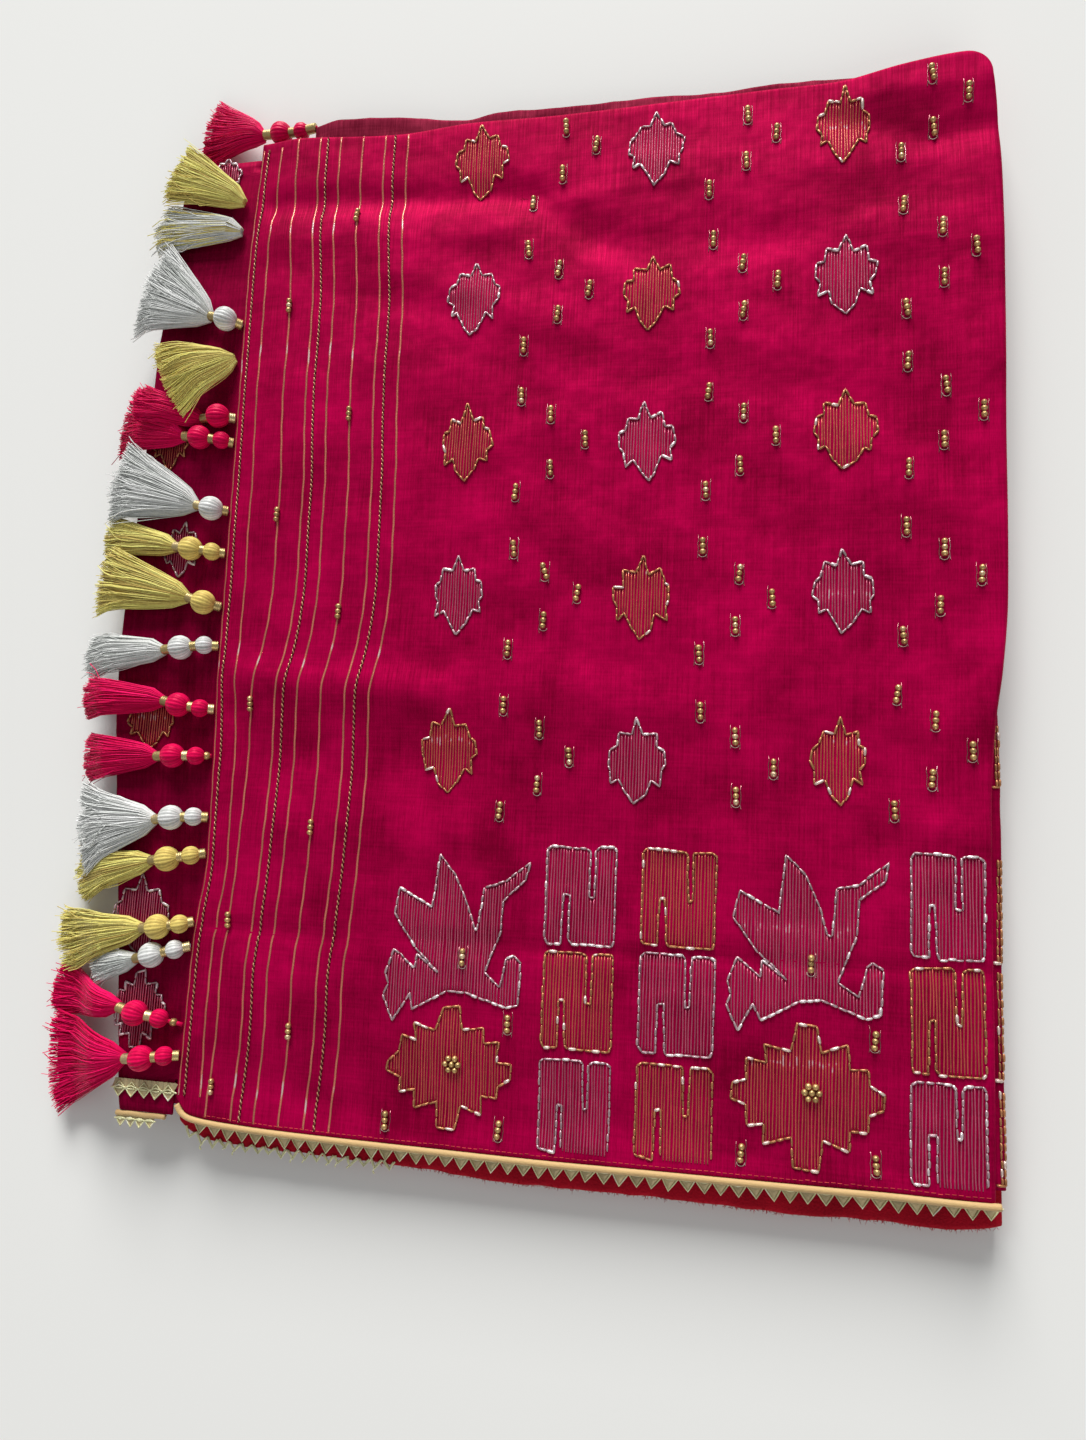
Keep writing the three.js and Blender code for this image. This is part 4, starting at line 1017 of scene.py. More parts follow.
def folded_stack():
    """The hidden layers: one body whose sides show the edges of the folds, one on another."""
    rng = np.random.default_rng(41)
    rings = []
    base = 0.0
    for number, (top, left, right, front, back, wave) in enumerate(TIERS):
        layers = 2 if top - base > 2 else 1
        for layer in range(layers):
            low = mix(base, top, layer / layers)
            high = mix(base, top, (layer + 1) / layers)
            # Every layer but the lowest of a wide tier stands back a little.
            shift = rng.uniform(0, 0.9, 4) if layer or number > 4 else np.zeros(4)
            ripple = rng.uniform(0, 6.28, 4)
            for share, inset in LAYER_SIDE:
                sides = (left + inset + shift[0], right - inset - shift[1],
                         front + inset + shift[2], back - inset - shift[3])
                z = mix(low, high, share) if rings else 0.0
                rings.append(stack_ring(*sides, z, max(wave, 0.3), ripple))
        base = top
    points, faces = tube(rings)
    uv = np.stack([points[:, 0] + points[:, 1], points[:, 2] * 6], 1)
    # The layers' sides are a darker copy of the silk, 0.72 of its colour: painted shade.
    piece = new_piece("folded_stack", points, faces, silk("silk_edge", 0.72), uv)
    outward(piece)
    settle(piece, "silk_shade", "hidden_layers")


def stack_ring(left, right, front, back, z, wave, ripple):
    """A level line of the stack: a rectangle with round corners, its left side bowed."""
    centres = [(right - STACK_CORNER, front + STACK_CORNER, -90),
               (right - STACK_CORNER, back - STACK_CORNER, 0),
               (left + STACK_CORNER, back - STACK_CORNER, 90),
               (left + STACK_CORNER, front + STACK_CORNER, 180)]
    line = []
    for k, (cx, cy, start) in enumerate(centres):
        for a in np.radians(np.linspace(start, start + 90, 7)):
            line.append((cx + STACK_CORNER * math.cos(a), cy + STACK_CORNER * math.sin(a)))
        following = centres[(k + 1) % 4]
        a = math.radians(following[2])
        goal = (following[0] + STACK_CORNER * math.cos(a), following[1] + STACK_CORNER * math.sin(a))
        begin = line[-1]
        for i in range(1, STACK_STEPS):
            t = i / STACK_STEPS
            wander = -wave * (0.6 + 0.4 * math.sin(18 * t + ripple[k] + 0.3 * z)
                              * math.sin(23 * t + ripple[k - 1]))
            line.append((mix(begin[0], goal[0], t) + wander * math.cos(a),
                         mix(begin[1], goal[1], t) + wander * math.sin(a)))
    line = np.array(line)
    share = np.clip((-150 - line[:, 0]) / 80, 0, 1)
    line[:, 0] += share * (along(UNDER_LEFT_EDGE, line[:, 1]) + 266)
    return np.column_stack([line, np.full(len(line), z)])


# ------------------------------------------------------------------ hem

def cord_piece(name, path, radius, node):
    """A piping: silk drawn over a cord, with faint dents where it is stitched."""
    dents = 1 - 0.035 * (np.sin(np.arange(len(path)) * 1.9) > 0.8)
    points, faces = tube(round_rings(path, radius * dents, 16))
    piece = new_piece(name, points, faces, piping_silk())
    outward(piece)
    settle(piece, "piping", node)


def hem_stitches():
    """Short stitches that hold the piping, just above it."""
    rng = np.random.default_rng(48)
    starts = np.arange(-186, 198, 2.9)
    paths = []
    for at in starts:
        x = np.linspace(at, at + 1.9, 4)
        y = hem_y(x) + 1.7 + rng.normal(0, 0.12)
        places, normals = on_panel(np.stack([x, y], 1))
        paths.append(places + normals * np.array([0.02, 0.14, 0.14, 0.02])[:, None])
    shades = [np.full(4, rng.uniform(0.2, 1)) for _ in paths]
    paint = thread("stitch_floss", YARNS["stitch_floss"])
    settle(strands("hem_stitches", paths, 0.00017, 4, paint, shades=shades), "thread_red")


def pipings():
    """Piping along the hem, and the short one of the stretch below."""
    hem_stitches()
    x = np.concatenate([np.linspace(-204.6, -190, 26), np.linspace(-189, 203, 330)])
    y = piping_y(x)
    z = panel_height(x, np.maximum(y, hem_y(x))) - WALL / 2
    cord_piece("hem_cord", np.stack([x, y + 0.15, z], 1), PIPING_RADIUS - 0.2, "hem_piping")
    x = np.linspace(-241, -212, 30)
    y = np.full_like(x, UNDER_FRONT - GAP - LOWER_PIPING_RADIUS) + 0.15 * np.sin(x * 0.4)
    cord_piece("lower_hem_cord", np.stack([x, y, np.full_like(x, UNDER_TOP - WALL)], 1),
               LOWER_PIPING_RADIUS, "under_piping")


def tooth(left, right, tip, z, thickness, fold):
    """A tooth of folded metal ribbon: two flaps that meet on a ridge, over a flat back."""
    middle = (left + right) / 2
    ridge = mix(middle, tip, 0.34)
    top = [(*left, z), (*right, z), (*tip, z), (*ridge, z + fold), (*middle, z + fold * 0.75)]
    bottom = [(*left, z - thickness), (*right, z - thickness), (*tip, z - thickness)]
    faces = [(0, 2, 3), (0, 3, 4), (4, 3, 1), (3, 2, 1), (5, 6, 7), (0, 5, 7, 2), (2, 7, 6, 1),
             (0, 4, 1, 6, 5)]
    return np.array(top + bottom), faces


def lace_wire():
    """Wire that edges the teeth of the laces. It is made lighter than the lace and hardly metallic, so that
    it shows bright in the hem's shadow: painted highlight.
    """
    return wire("lace_wire", scaled(settings("metal").lace, 1.2), 0.3, 0.15)


def toothed_lace(name, x0, x1, line, band, depth, pitch, top, node, seed):
    """A band of metal ribbon whose folds hang as pointed teeth, each edged with wire."""
    rng = np.random.default_rng(seed)
    count = round((x1 - x0) / pitch)
    step = (x1 - x0) / count
    parts, shades, wires = [], [], []
    for k in range(count):
        a, b = x0 + k * step, x0 + (k + 1) * step
        lean = rng.normal(0, 0.35)
        left = np.array([a + 0.25, line(a + 0.25) - band])
        right = np.array([b - 0.25, line(b - 0.25) - band])
        tip = np.array([(a + b) / 2 + lean, line((a + b) / 2) - band - depth * rng.uniform(0.9, 1.04)])
        z = top - 0.1 + rng.uniform(-0.1, 0.1)
        part = tooth(left, right, tip, z, 0.5, 0.5)
        parts.append(part)
        shades.extend([rng.uniform(0.0, 0.55)] * len(part[0]))
        edge = [(*left, z + 0.1), (*mix(left, tip, 0.5), z + 0.3), (*tip, z + 0.1),
                (*mix(right, tip, 0.5), z + 0.3), (*right, z + 0.1)]
        wires.append(np.array(edge))
        middle = mix(left, right, 0.5)
        bar = [(*mix(left, middle, 0.4), z + 0.5), (*(middle + [0, rng.uniform(-0.4, 0.3)]), z + 0.75),
               (*mix(right, middle, 0.4), z + 0.5)]
        wires.append(np.array(bar))
        peak = middle + np.array([rng.normal(0, 0.2), band * rng.uniform(0.75, 0.95)])
        wires.append(np.array([(*left, z + 0.35), (*peak, z + 0.45), (*right, z + 0.35)]))
        loop = middle + np.array([0.0, band * 0.35])
        wires.append(np.array([(*mix(left, right, -0.2), z + 0.3), (*loop, z + 0.75),
                               (*mix(left, right, 1.2), z + 0.3)]))
    x = np.arange(x0, x1, 0.8)
    edge = np.stack([x, line(x) - band * 0.5 + 0.25 * np.sin(x * 2.6)], 1)
    places = np.column_stack([edge, top - 0.35 + 0.15 * np.sin(x * 5.1)])
    strip = ribbon(places, np.tile([0.0, 0.0, 1.0], (len(x), 1)), band + 0.9, 0.45)
    parts.append(strip)
    shades.extend(0.2 + 0.2 * np.sin(np.arange(len(strip[0])) * 0.37))
    points, faces = joined(parts)
    ribbon_paint = wire("lace_ribbon", scaled(settings("metal").lace, 0.9), 0.36, 0.3, 1500.0)
    piece = new_piece(name, points, faces, ribbon_paint, shade=shades)
    piece.data.polygons.foreach_set("use_smooth", np.zeros(len(piece.data.polygons), bool))
    settle(piece, "gilt", node)
    shades = [np.clip(rng.normal(0.62, 0.25, len(path)), 0, 1) for path in wires]
    settle(strands(name + "_wires", wires, 0.0004, 5, lace_wire(), shades=shades), "gilt")


def laces():
    """Toothed laces under the hem and on the stretch below, and the wire teeth of a lower hem."""
    def level(y):
        return lambda x: np.full_like(np.asarray(x, float), y)

    toothed_lace("hem_lace_gold", -196, 204, lambda x: piping_y(x) - 0.5, 1.7, 5.6, 8.0, HEM_LACE_TOP,
                 "hem_lace", 51)
    toothed_lace("left_lace_gold", -243, -206.2, level(-268.0), 4.5, 4.5, 7.4, UNDER_TOP + GAP + 0.8,
                 "under_lace", 52)
    toothed_lace("left_edge_lace_gold", -241, -218, level(-287.6), 1.2, 4.0, 5.6, EDGE_LACE_TOP,
                 "under_edge_lace", 53)
    lower_band()


def lower_band():
    """The red edge of a lower layer below the hem, and the wire teeth sewn along it."""
    x = np.linspace(-207, -84, 90)
    low = along(LOWER_BAND_EDGE, x) + 0.3 * np.sin(x * 0.31) + 0.2 * np.sin(x * 0.83)
    shares = np.array([0.0, 0.3, 0.6, 0.85, 0.95, 1.0])
    drops = np.array([0.0, 0.0, 0.1, 0.25, 0.5, 1.0])
    across = mix(-284.0, low[:, None], shares[None, :])
    height = LOWER_LACE_TOP - 0.3 + 0.25 * np.sin(x * 0.21)[:, None] - drops[None, :] * 0.6
    outer = np.stack([np.broadcast_to(x[:, None], across.shape), across, height], -1)
    points, faces = wall(outer, outer - np.array([0, 0, 0.8]))
    band = new_piece("lower_band", points, faces, velvet())
    outward(band)
    settle(band, "lining", "lower_lace")
    rng = np.random.default_rng(54)
    paths = []
    pitch = 6.6
    z = LOWER_LACE_TOP
    for a in np.arange(-203, -90, pitch):
        b = a + pitch
        y0, y1 = (float(along(LOWER_BAND_EDGE, at)) + 1.2 for at in (a, b))
        tip = (mix(a, b, 0.5) + rng.normal(0, 0.7), mix(y0, y1, 0.5) - 4.9 * rng.uniform(0.75, 1.1))
        for inset in (0.0, 0.75):
            left = (a + inset, y0 + rng.uniform(-0.3, 0.6))
            right = (b - inset, y1 + rng.uniform(-0.3, 0.6))
            end = (tip[0], tip[1] + inset * 1.3)
            paths.append(np.array([
                (*left, z), (mix(left[0], end[0], 0.5), mix(left[1], end[1], 0.45), z + 0.3),
                (*end, z - 0.3), (mix(right[0], end[0], 0.5), mix(right[1], end[1], 0.45), z + 0.3),
                (*right, z)]))
        if rng.uniform() < 0.5:
            turn = rng.uniform(0, math.pi)
            curl = [(tip[0] + 1.2 * math.cos(turn + t) * t * 0.5, tip[1] - 0.4 * t + math.sin(turn + t), z)
                    for t in np.linspace(0, 2.5, 6)]
            paths.append(np.array(curl))
    shades = [np.clip(rng.normal(0.6, 0.25, len(path)), 0, 1) for path in paths]
    settle(strands("lower_wire_teeth", paths, 0.00042, 5, lace_wire(), shades=shades), "gilt")


# ------------------------------------------------------------------ stripes

def stripe_paths():
    """Cloth coordinates of the flat lines and of the chained lines, hem to top fold."""
    flats, chains = [], []
    for x0 in FLAT_LINES + CHAIN_LINES:
        low = float(hem_y(x0)) + 1.5
        high = float(along(BACK_EDGE, x0)) - ROLL + 3
        y = np.arange(low, high, 2.5)
        path = wandered(np.stack([np.full_like(y, x0), y], 1))
        (chains if x0 in CHAIN_LINES else flats).append(path)
    y = np.arange(-273, 276, 2.5)
    for inset in EDGE_LINES:
        flats.append(np.stack([along(LEFT_EDGE, y) + inset, y], 1))
    chains.append(np.stack([along(LEFT_EDGE, y) + EDGE_CHAIN, y], 1))
    return flats, chains


def zari_stripes():
    """Flat metal lines down the pallu, and twisted chain threads between them."""
    flats, chains = stripe_paths()
    rng = np.random.default_rng(61)
    parts = []
    for number, path in enumerate(flats):
        wobble = 0.12 * np.sin(np.arange(len(path)) * 0.9 + number)
        path = path + np.stack([wobble, np.zeros(len(path))], 1)
        width = 0.6 if number == len(flats) - 2 else 1.0
        parts.append(ribbon(*on_panel(path, 0.04), width, 0.16))
    points, faces = joined(parts)
    shade = 0.42 + 0.22 * np.sin(points[:, 1] * 0.13 + points[:, 0])
    # Pale bands across the lines at GLEAMS are painted highlights.
    for place in GLEAMS:
        off = points[:, 1] - place - 5 * np.sin(points[:, 0] * 0.7 + place)
        shade += 0.6 * np.exp(-(off / 4.5) ** 2)
    stripes = new_piece("zari_stripes", points, faces,
                        wire("zari", settings("metal").zari, 0.3, 0.5, 900.0), shade=shade)
    settle(stripes, "gilt")
    plies = {"dark": [], "bright": []}
    step, twist = 0.55, 3.0
    for path in chains:
        fine = walk(path, step)
        turn = np.arange(len(fine)) * step / twist * 2 * math.pi
        for ply, phase in (("dark", 0.0), ("bright", math.pi)):
            offset = 0.36 * np.cos(turn + phase)
            raised = 0.4 + 0.3 * np.sin(turn + phase)
            places, normals = on_panel(fine + np.stack([offset, np.zeros_like(offset)], 1))
            plies[ply].append(places + normals * raised[:, None])
    paint = thread("chain_dark", YARNS["chain_dark"])
    settle(strands("chain_threads", plies["dark"], 0.00038, 3, paint), "thread_red")
    paint = wire("chain_gold", YARNS["chain_gold"], 0.35, 0.45)
    shades = [rng.uniform(0, 0.9, len(path)) for path in plies["bright"]]
    settle(strands("chain_wire", plies["bright"], 0.00043, 3, paint, shades=shades), "gilt")


# ------------------------------------------------------------------ motifs

def leaf_outline(centre, seed, half_width=LEAF_HALF_WIDTH, half_height=LEAF_HALF_HEIGHT):
    """A leaf motif, drawn as one half and its reflection, a little uneven and tilted."""
    rng = np.random.default_rng(seed)
    right = [(x * half_width, y * half_height) for x, y in LEAF_HALF]
    left = [(-x, y) for x, y in right[1:-1]][::-1]
    outline = np.array(right + left) + rng.normal(0, 0.55, (len(right) + len(left), 2))
    tilt = rng.normal(0, 0.04)
    turned = outline @ np.array([[math.cos(tilt), math.sin(tilt)], [-math.sin(tilt), math.cos(tilt)]])
    return turned + np.array(centre)


def star_outline(x, y, half_width, half_height, seed):
    """Stepped points round an oval, drawn as one quarter and its reflections."""
    rng = np.random.default_rng(seed)
    quarter = np.array(STAR_QUARTER)
    rounds = [quarter, quarter[::-1] * [1, -1], quarter * [-1, -1], quarter[::-1] * [-1, 1]]
    outline = np.concatenate(rounds) + rng.normal(0, 0.022, (4 * len(quarter), 2))
    return outline * [half_width, half_height] + [x, y]


def lotus_outline(centre, seed):
    """The lotus, its corners a little uneven."""
    rng = np.random.default_rng(seed)
    return np.array(LOTUS, float) + rng.normal(0, 0.5, (len(LOTUS), 2)) + np.array(centre)


def key_outline(x0, x1, top, bottom, seed):
    """A key block, its corners a little uneven."""
    rng = np.random.default_rng(seed)
    places = np.array(KEY_SLOT) + rng.normal(0, 0.008, (len(KEY_SLOT), 2))
    return np.stack([mix(x0, x1, places[:, 0]), mix(bottom, top, places[:, 1])], 1)


def all_motifs():
    """Every motif: its metal, its outline's parts, its filled shape, and the cloth it is on."""
    motifs = []
    for column, (x, first, metal) in enumerate(LEAF_COLUMNS):
        for row in range(LEAF_ROWS):
            turned = metal if row % 2 == 0 else ("silver" if metal == "gold" else "gold")
            outline = wandered(leaf_outline((x, first - row * LEAF_PERIOD), 100 + 10 * column + row))
            motifs.append((turned, [(outline, True)], outline, on_panel))
    for number, place in enumerate(LOTUS_PLACES):
        outline = lotus_outline(place, 140 + number)
        motifs.append(("silver", [(outline, True)], outline, on_panel))
    for number, star in enumerate(STARS):
        outline = star_outline(*star, 150 + number)
        motifs.append(("gold", [(outline, True)], outline, on_panel))
    for column, (x0, x1, blocks) in enumerate(KEY_COLUMNS):
        for row, (top, bottom, metal) in enumerate(blocks):
            outline = key_outline(x0, x1, top, bottom, 160 + 10 * column + row)
            parts = [(outline, True)]
            if row == len(blocks) - 1:
                parts = [(np.concatenate([outline[KEY_SLOT_END - 1:], outline[:KEY_RIGHT_FOOT + 1]]), False),
                         (outline[KEY_SLOT_FOOT:KEY_SLOT_END], False)]
            motifs.append((metal, parts, outline, on_panel))
    for metal, (x, y), half_width, half_height in LOWER_LEAVES:
        outline = leaf_outline((x, y), int(300 + y), half_width, half_height)
        motifs.append((metal, [(outline, True)], outline, on_left_stretch))
    outline = star_outline(*LOWER_STAR, 170)
    motifs.append(("silver", [(outline, True)], outline, on_left_stretch))
    return motifs


def add_coils(coils, outline, closed, surface, rng):
    """Adds short pieces of coiled wire, laid along an outline, to lists of lines, widths, tones."""
    step = settings("metal").coil_length / MM
    corners = [np.asarray(corner, float) for corner in outline]
    if closed:
        corners.append(corners[0])
    spots, level = [], []
    for a, b in zip(corners, corners[1:]):
        count = max(1, round(float(np.linalg.norm(b - a)) / step))
        for k in range(count):
            low = (k + rng.uniform(0.0, 0.1)) / count
            high = (k + 1 - rng.uniform(0.0, 0.08)) / count
            slip = rng.normal(0, 0.14, 2)
            spots.append([mix(a, b, t) + slip
                          for t in (low, mix(low, high, 0.2), mix(low, high, 0.8), high)])
            level.append(abs(b[0] - a[0]) > 1.7 * abs(b[1] - a[1]))
    count = len(spots)
    places, normals = surface(np.array(spots).reshape(-1, 2))
    height = np.tile([0.18, 0.5, 0.5, 0.18], count) + rng.uniform(-0.08, 0.2, count).repeat(4)
    lines = (places + normals * height[:, None]).reshape(count, 4, 3)
    # Glints are painted highlights: a shade of 1.0 turns the wire pale, mostly on level pieces.
    glints = rng.uniform(size=count) < np.where(level, 0.45, 0.06)
    thick = rng.uniform(0.75, 1.12, count) * np.where(glints, 1.3, 1.0)
    widths = np.outer(thick, [0.62, 1.0, 1.0, 0.62])
    shades = np.where(glints, 1.0, rng.uniform(0.1, 0.72, count))[:, None].repeat(4, 1)
    for store, found in zip(coils, (lines, widths, shades)):
        store.extend(found)


def fill_lines(outline, pitch, rng):
    """Upright lines inside an outline, a pitch apart."""
    following = np.roll(outline, -1, axis=0)
    lines = []
    x = outline[:, 0].min() + pitch * 0.6
    while x < outline[:, 0].max() - pitch * 0.3:
        at = x + rng.normal(0, 0.09)
        crosses = (outline[:, 0] > at) != (following[:, 0] > at)
        a, b = outline[crosses], following[crosses]
        y = np.sort(a[:, 1] + (at - a[:, 0]) / (b[:, 0] - a[:, 0]) * (b[:, 1] - a[:, 1]))
        for low, high in zip(y[0::2], y[1::2]):
            if high - low > 1.6:
                places = np.linspace(low + 0.2, high - 0.2, max(3, int((high - low) / 3)))
                sway = 0.12 * np.sin(places * 0.21 + at)
                lines.append(np.stack([at + sway, places], 1))
        x += pitch
    return lines


def fill_shades(lines, outline, rng):
    """Tones along each upright yarn, with the gleam that crosses a motif where the cloth turns."""
    low, high = outline[:, 1].min(), outline[:, 1].max()
    # The gleam is a painted highlight: a pale band across the motif's yarns.
    band = mix(low, high, rng.uniform(0.45, 0.85))
    strength = 0.9 if rng.uniform() < 0.3 else 0.35
    tones = []
    for line in lines:
        gleam = strength * rng.uniform(0.5, 1) * np.exp(
            -((line[:, 1] - band - rng.normal(0, 0.8)) / 2.6) ** 2)
        tone = np.clip(rng.uniform(0.08, 0.5) + rng.normal(0, 0.05, len(line)) + gleam, 0, 1)
        tones.append(tone.repeat(4))
    return tones


def motifs():
    """Outlines of coiled wire, each filled with upright metal yarns."""
    metal = settings("metal")
    rng = np.random.default_rng(71)
    pitch = metal.fill_pitch / MM
    kinds = {"gold": ("gilt", metal.antique, "salmon_yarn"),
             "silver": ("thread_silver", metal.silver, "pink_yarn")}
    for kind, (slot, metal_colour, yarn) in kinds.items():
        paint = wire(kind + "_coil", metal_colour, 0.34, 0.6)
        coils = ([], [], [])
        yarns, tones = [], []
        for motif_metal, parts, shape, surface in all_motifs():
            if motif_metal != kind:
                continue
            for part, closed in parts:
                add_coils(coils, part, closed, surface, rng)
            upright = fill_lines(shape, pitch, rng)
            yarns.extend(ribbon(*surface(line, 0.1), 0.55, 0.2) for line in upright)
            tones.extend(fill_shades(upright, shape, rng))
        lines, widths, shades = coils
        settle(strands(kind + "_outlines", lines, metal.coil_radius, 5, paint, widths, shades), slot)
        points, faces = joined(yarns)
        paint = wire(yarn, YARNS[yarn], 0.34, 0.4, 700.0)
        settle(new_piece(kind + "_fills", points, faces, paint, shade=np.concatenate(tones)), slot)
    fold_embroidery(rng)


def fold_embroidery(rng):
    """The edges of the motifs that show on the second fold, at the right."""
    def on_fold(spots, lift=0.0):
        spots = np.asarray(spots, float)
        places = np.column_stack([spots, np.full(len(spots), TIER_TOP - 0.15 + lift)])
        return places, np.tile([0.35, 0.0, 0.94], (len(spots), 1))

    metal = settings("metal")
    coils = ([], [], [])
    for y0, y1 in FOLD_BLOCKS:
        y = np.array([y0, y1])
        edge = np.stack([along(SECOND_FOLD_EDGE, y) - 0.9, y], 1)
        foot = np.array([edge[-1], edge[-1] - [4.0, 0.0]])
        for part in (edge, edge - [1.5, 0.0], foot):
            add_coils(coils, part, False, on_fold, rng)
    lines, widths, shades = coils
    paint = wire("gold_coil", metal.antique, 0.34, 0.6)
    settle(strands("fold_embroidery", lines, metal.coil_radius, 5, paint, widths, shades), "gilt")


# ------------------------------------------------------------------ beads

def round_beads(name, places, radius, seed):
    """A brass bead at each place, its radius in metres."""
    paint = wire("brass", settings("metal").brass, 0.34, 0.65)
    return grow(name, bead_tree(), places, {"Radius": radius, "Seed": seed, "Material": paint})


def bead_sets():
    """Sets of three brass beads between fine metal lines, and the seven in a star's middle."""
    metal = settings("metal")
    rng = np.random.default_rng(81)
    radius = metal.bead_radius / MM
    places = list(BORDER_BEADS)
    for x, first in BEAD_COLUMNS:
        for row in range(BEAD_ROWS):
            y = first - row * BEAD_PERIOD
            for dx, dy in BEAD_GROUP:
                if BEAD_LOW < y + dy < BEAD_HIGH:
                    places.append((x + dx + rng.normal(0, 0.7), y + dy + rng.normal(0, 0.8)))
    spots = np.concatenate([places[:len(BORDER_BEADS)], wandered(places[len(BORDER_BEADS):])])
    beads, sides, feet = [], [], []
    for x, y in spots:
        lean = rng.normal(0, 0.25)
        for k in (-1, 0, 1):
            beads.append(on_panel([(x + lean * k, y + k * radius * 1.95)], radius * 0.86)[0])
        for across in (-2.3, 2.3):
            if rng.uniform() < 0.85:
                low, high = y - 5.2 - rng.uniform(0, 1.6), y + 4.8 + rng.uniform(0, 1.8)
                line = np.linspace(low, high, 6)
                sides.append(np.stack([x + across + 0.25 * np.sin(line), line], 1))
        turn = np.linspace(-0.2, math.pi + 0.2, 7)
        foot = np.stack([x + 1.9 * np.cos(turn), y - 4.4 - rng.uniform(0.9, 1.6) * np.sin(turn)], 1)
        places, normals = on_panel(foot)
        feet.append(places + normals * 0.25)
    for x, y in STRIPE_BEADS:
        for k in (-1, 0, 1):
            beads.append(on_panel([(x, y + k * radius * 1.8)], radius * 0.8)[0])
    for x, y, _, _ in STARS:
        ring = [(0.0, 0.0)] + [(math.cos(a), math.sin(a)) for a in np.radians(np.arange(0, 360, 60))]
        for dx, dy in ring:
            beads.append(on_panel([(x + 2 + dx * radius * 2.1, y + 2 + dy * radius * 2.1)],
                                  radius * 0.86)[0])
    settle(round_beads("brass_beads", beads, metal.bead_radius, 5), "gilt")
    paint = wire("pale_wire", YARNS["pale_wire"], 0.3, 0.3)
    shades = [rng.uniform(0.2, 1, len(path)) for path in feet]
    settle(strands("bead_feet", feet, 0.00022, 4, paint, shades=shades), "thread_silver")
    points, faces = joined([ribbon(*on_panel(line, 0.1), 0.34, 0.2) for line in sides])
    shade = rng.uniform(0.1, 0.9, len(sides)).repeat(len(points) // len(sides))
    paint = wire("pale_yarn", YARNS["pale_yarn"], 0.3)
    settle(new_piece("bead_side_yarns", points, faces, paint, shade=shade), "thread_silver")


# ------------------------------------------------------------------ tassels

def support_height(x, y):
    """Height of what a thread lies on: the stretch below, or the way down past its edge."""
    edge = along(UNDER_LEFT_EDGE, y) - 4
    return np.maximum(FLOOR_CLEARANCE, UNDER_TOP + GAP - np.maximum(0, edge - x) * DROOP)


def rest_height(low, radius, low_height):
    """Height of the middle of something round that lies on the stretch below or hangs low."""
    return low_height if low else UNDER_TOP + GAP + radius


def wrapped_bead(centre, heading, radius, number):
    """A bead wound with silk, whose threads lie in grooves from end to end, and its tones."""
    grooves = 15 if radius == SMALL_BEAD else 19
    stations = np.linspace(-0.97, 0.97, 13)
    path = np.array([centre + heading * radius * t for t in stations])
    radii = radius * np.sqrt(1 - stations ** 2) * 0.98 + 0.1
    turns = np.arange(grooves * 4) / (grooves * 4) * 2 * math.pi
    lines = np.abs(np.sin(turns * grooves / 2 + number))
    # The tone is darker in the grooves and lighter on the ridges between them: painted shade.
    tone = 0.15 + 0.6 * lines + 0.2 * np.sin(turns * 5)
    return tube(round_rings(path, radii, grooves * 4, 0.925 + 0.08 * lines)), np.tile(tone, len(path))


def collar(a, b, heading):
    """A ridged metal collar between two beads."""
    centre, half = mix(a, b, 0.5), min(3.2, np.linalg.norm(b - a) / 2 + 0.5)
    path = [centre + heading * half * t for t in np.linspace(-1, 1, 15)]
    ridges = COLLAR_RADIUS * (1 + 0.09 * np.abs(np.sin(np.linspace(0, 5 * math.pi, 15))))
    return tube(round_rings(path, ridges, 14))


def silk_beads():
    """Silk-wrapped beads on their cords, one piece for each stem, and the metal collars."""
    collars, collar_shades, exits = [], [], []
    for number, row in enumerate(TASSELS, start=1):
        thread_colour, leave, small, big, neck = row[:5]
        low = row[-1]
        start = np.array([*leave, LOW_HEIGHTS["exit"] if low else UNDER_TOP + GAP + 1.1])
        goal = np.array([*neck, rest_height(low, HEAD_RADIUS, LOW_HEIGHTS["head"])])
        beads = [(np.array([*place, rest_height(low, radius, LOW_HEIGHTS[size])]), radius)
                 for place, radius, size in ((small, SMALL_BEAD, "small"), (big, BIG_BEAD, "big"))
                 if place]
        stops = [start] + [centre for centre, _ in beads] + [goal]
        reach = [1.0] + [radius for _, radius in beads] + [0.0]
        for k in range(len(stops) - 1):
            heading = unit(stops[k + 1] - stops[k])
            a = stops[k] + heading * reach[k] * 0.74
            b = stops[k + 1] - heading * reach[k + 1] * 0.74
            if k == 0 and number in EXIT_BEADS:
                exits.append(mix(a, b, 0.5))
                continue
            if k == 0 and (not beads or np.linalg.norm(b - a) < 1.2):
                continue
            collars.append(collar(a, b, heading))
            collar_shades.extend([0.35 + 0.5 * ((number * 7 + k * 3) % 5) / 4] * len(collars[-1][0]))
        if not beads:
            continue
        parts, shades = [], []
        for k, (centre, radius) in enumerate(beads):
            part, tones = wrapped_bead(centre, unit(stops[k + 2] - stops[k]), radius, number)
            parts.append(part)
            shades.extend(tones)
        cord = walk(stops, 2.0)
        parts.append(tube(round_rings(cord, np.full(len(cord), 1.15), 8)))
        shades.extend([0.4] * len(parts[-1][0]))
        points, faces = joined(parts)
        silk_colour = scaled(getattr(settings("tassel"), thread_colour), 0.72)
        paint = thread(thread_colour + "_bead_silk", silk_colour, 0.34)
        piece = new_piece(f"stem_{number:02d}_beads", points, faces, paint, shade=shades)
        settle(piece, THREAD_SLOTS[thread_colour], f"stem_{number:02d}")
    points, faces = joined(collars)
    paint = wire("collar_wire", settings("metal").collar, 0.4, 0.8, 1800.0)
    settle(new_piece("stem_collars", points, faces, paint, shade=collar_shades), "gilt")
    settle(round_beads("exit_beads", [[place] for place in exits], 0.0023, 9), "gilt")


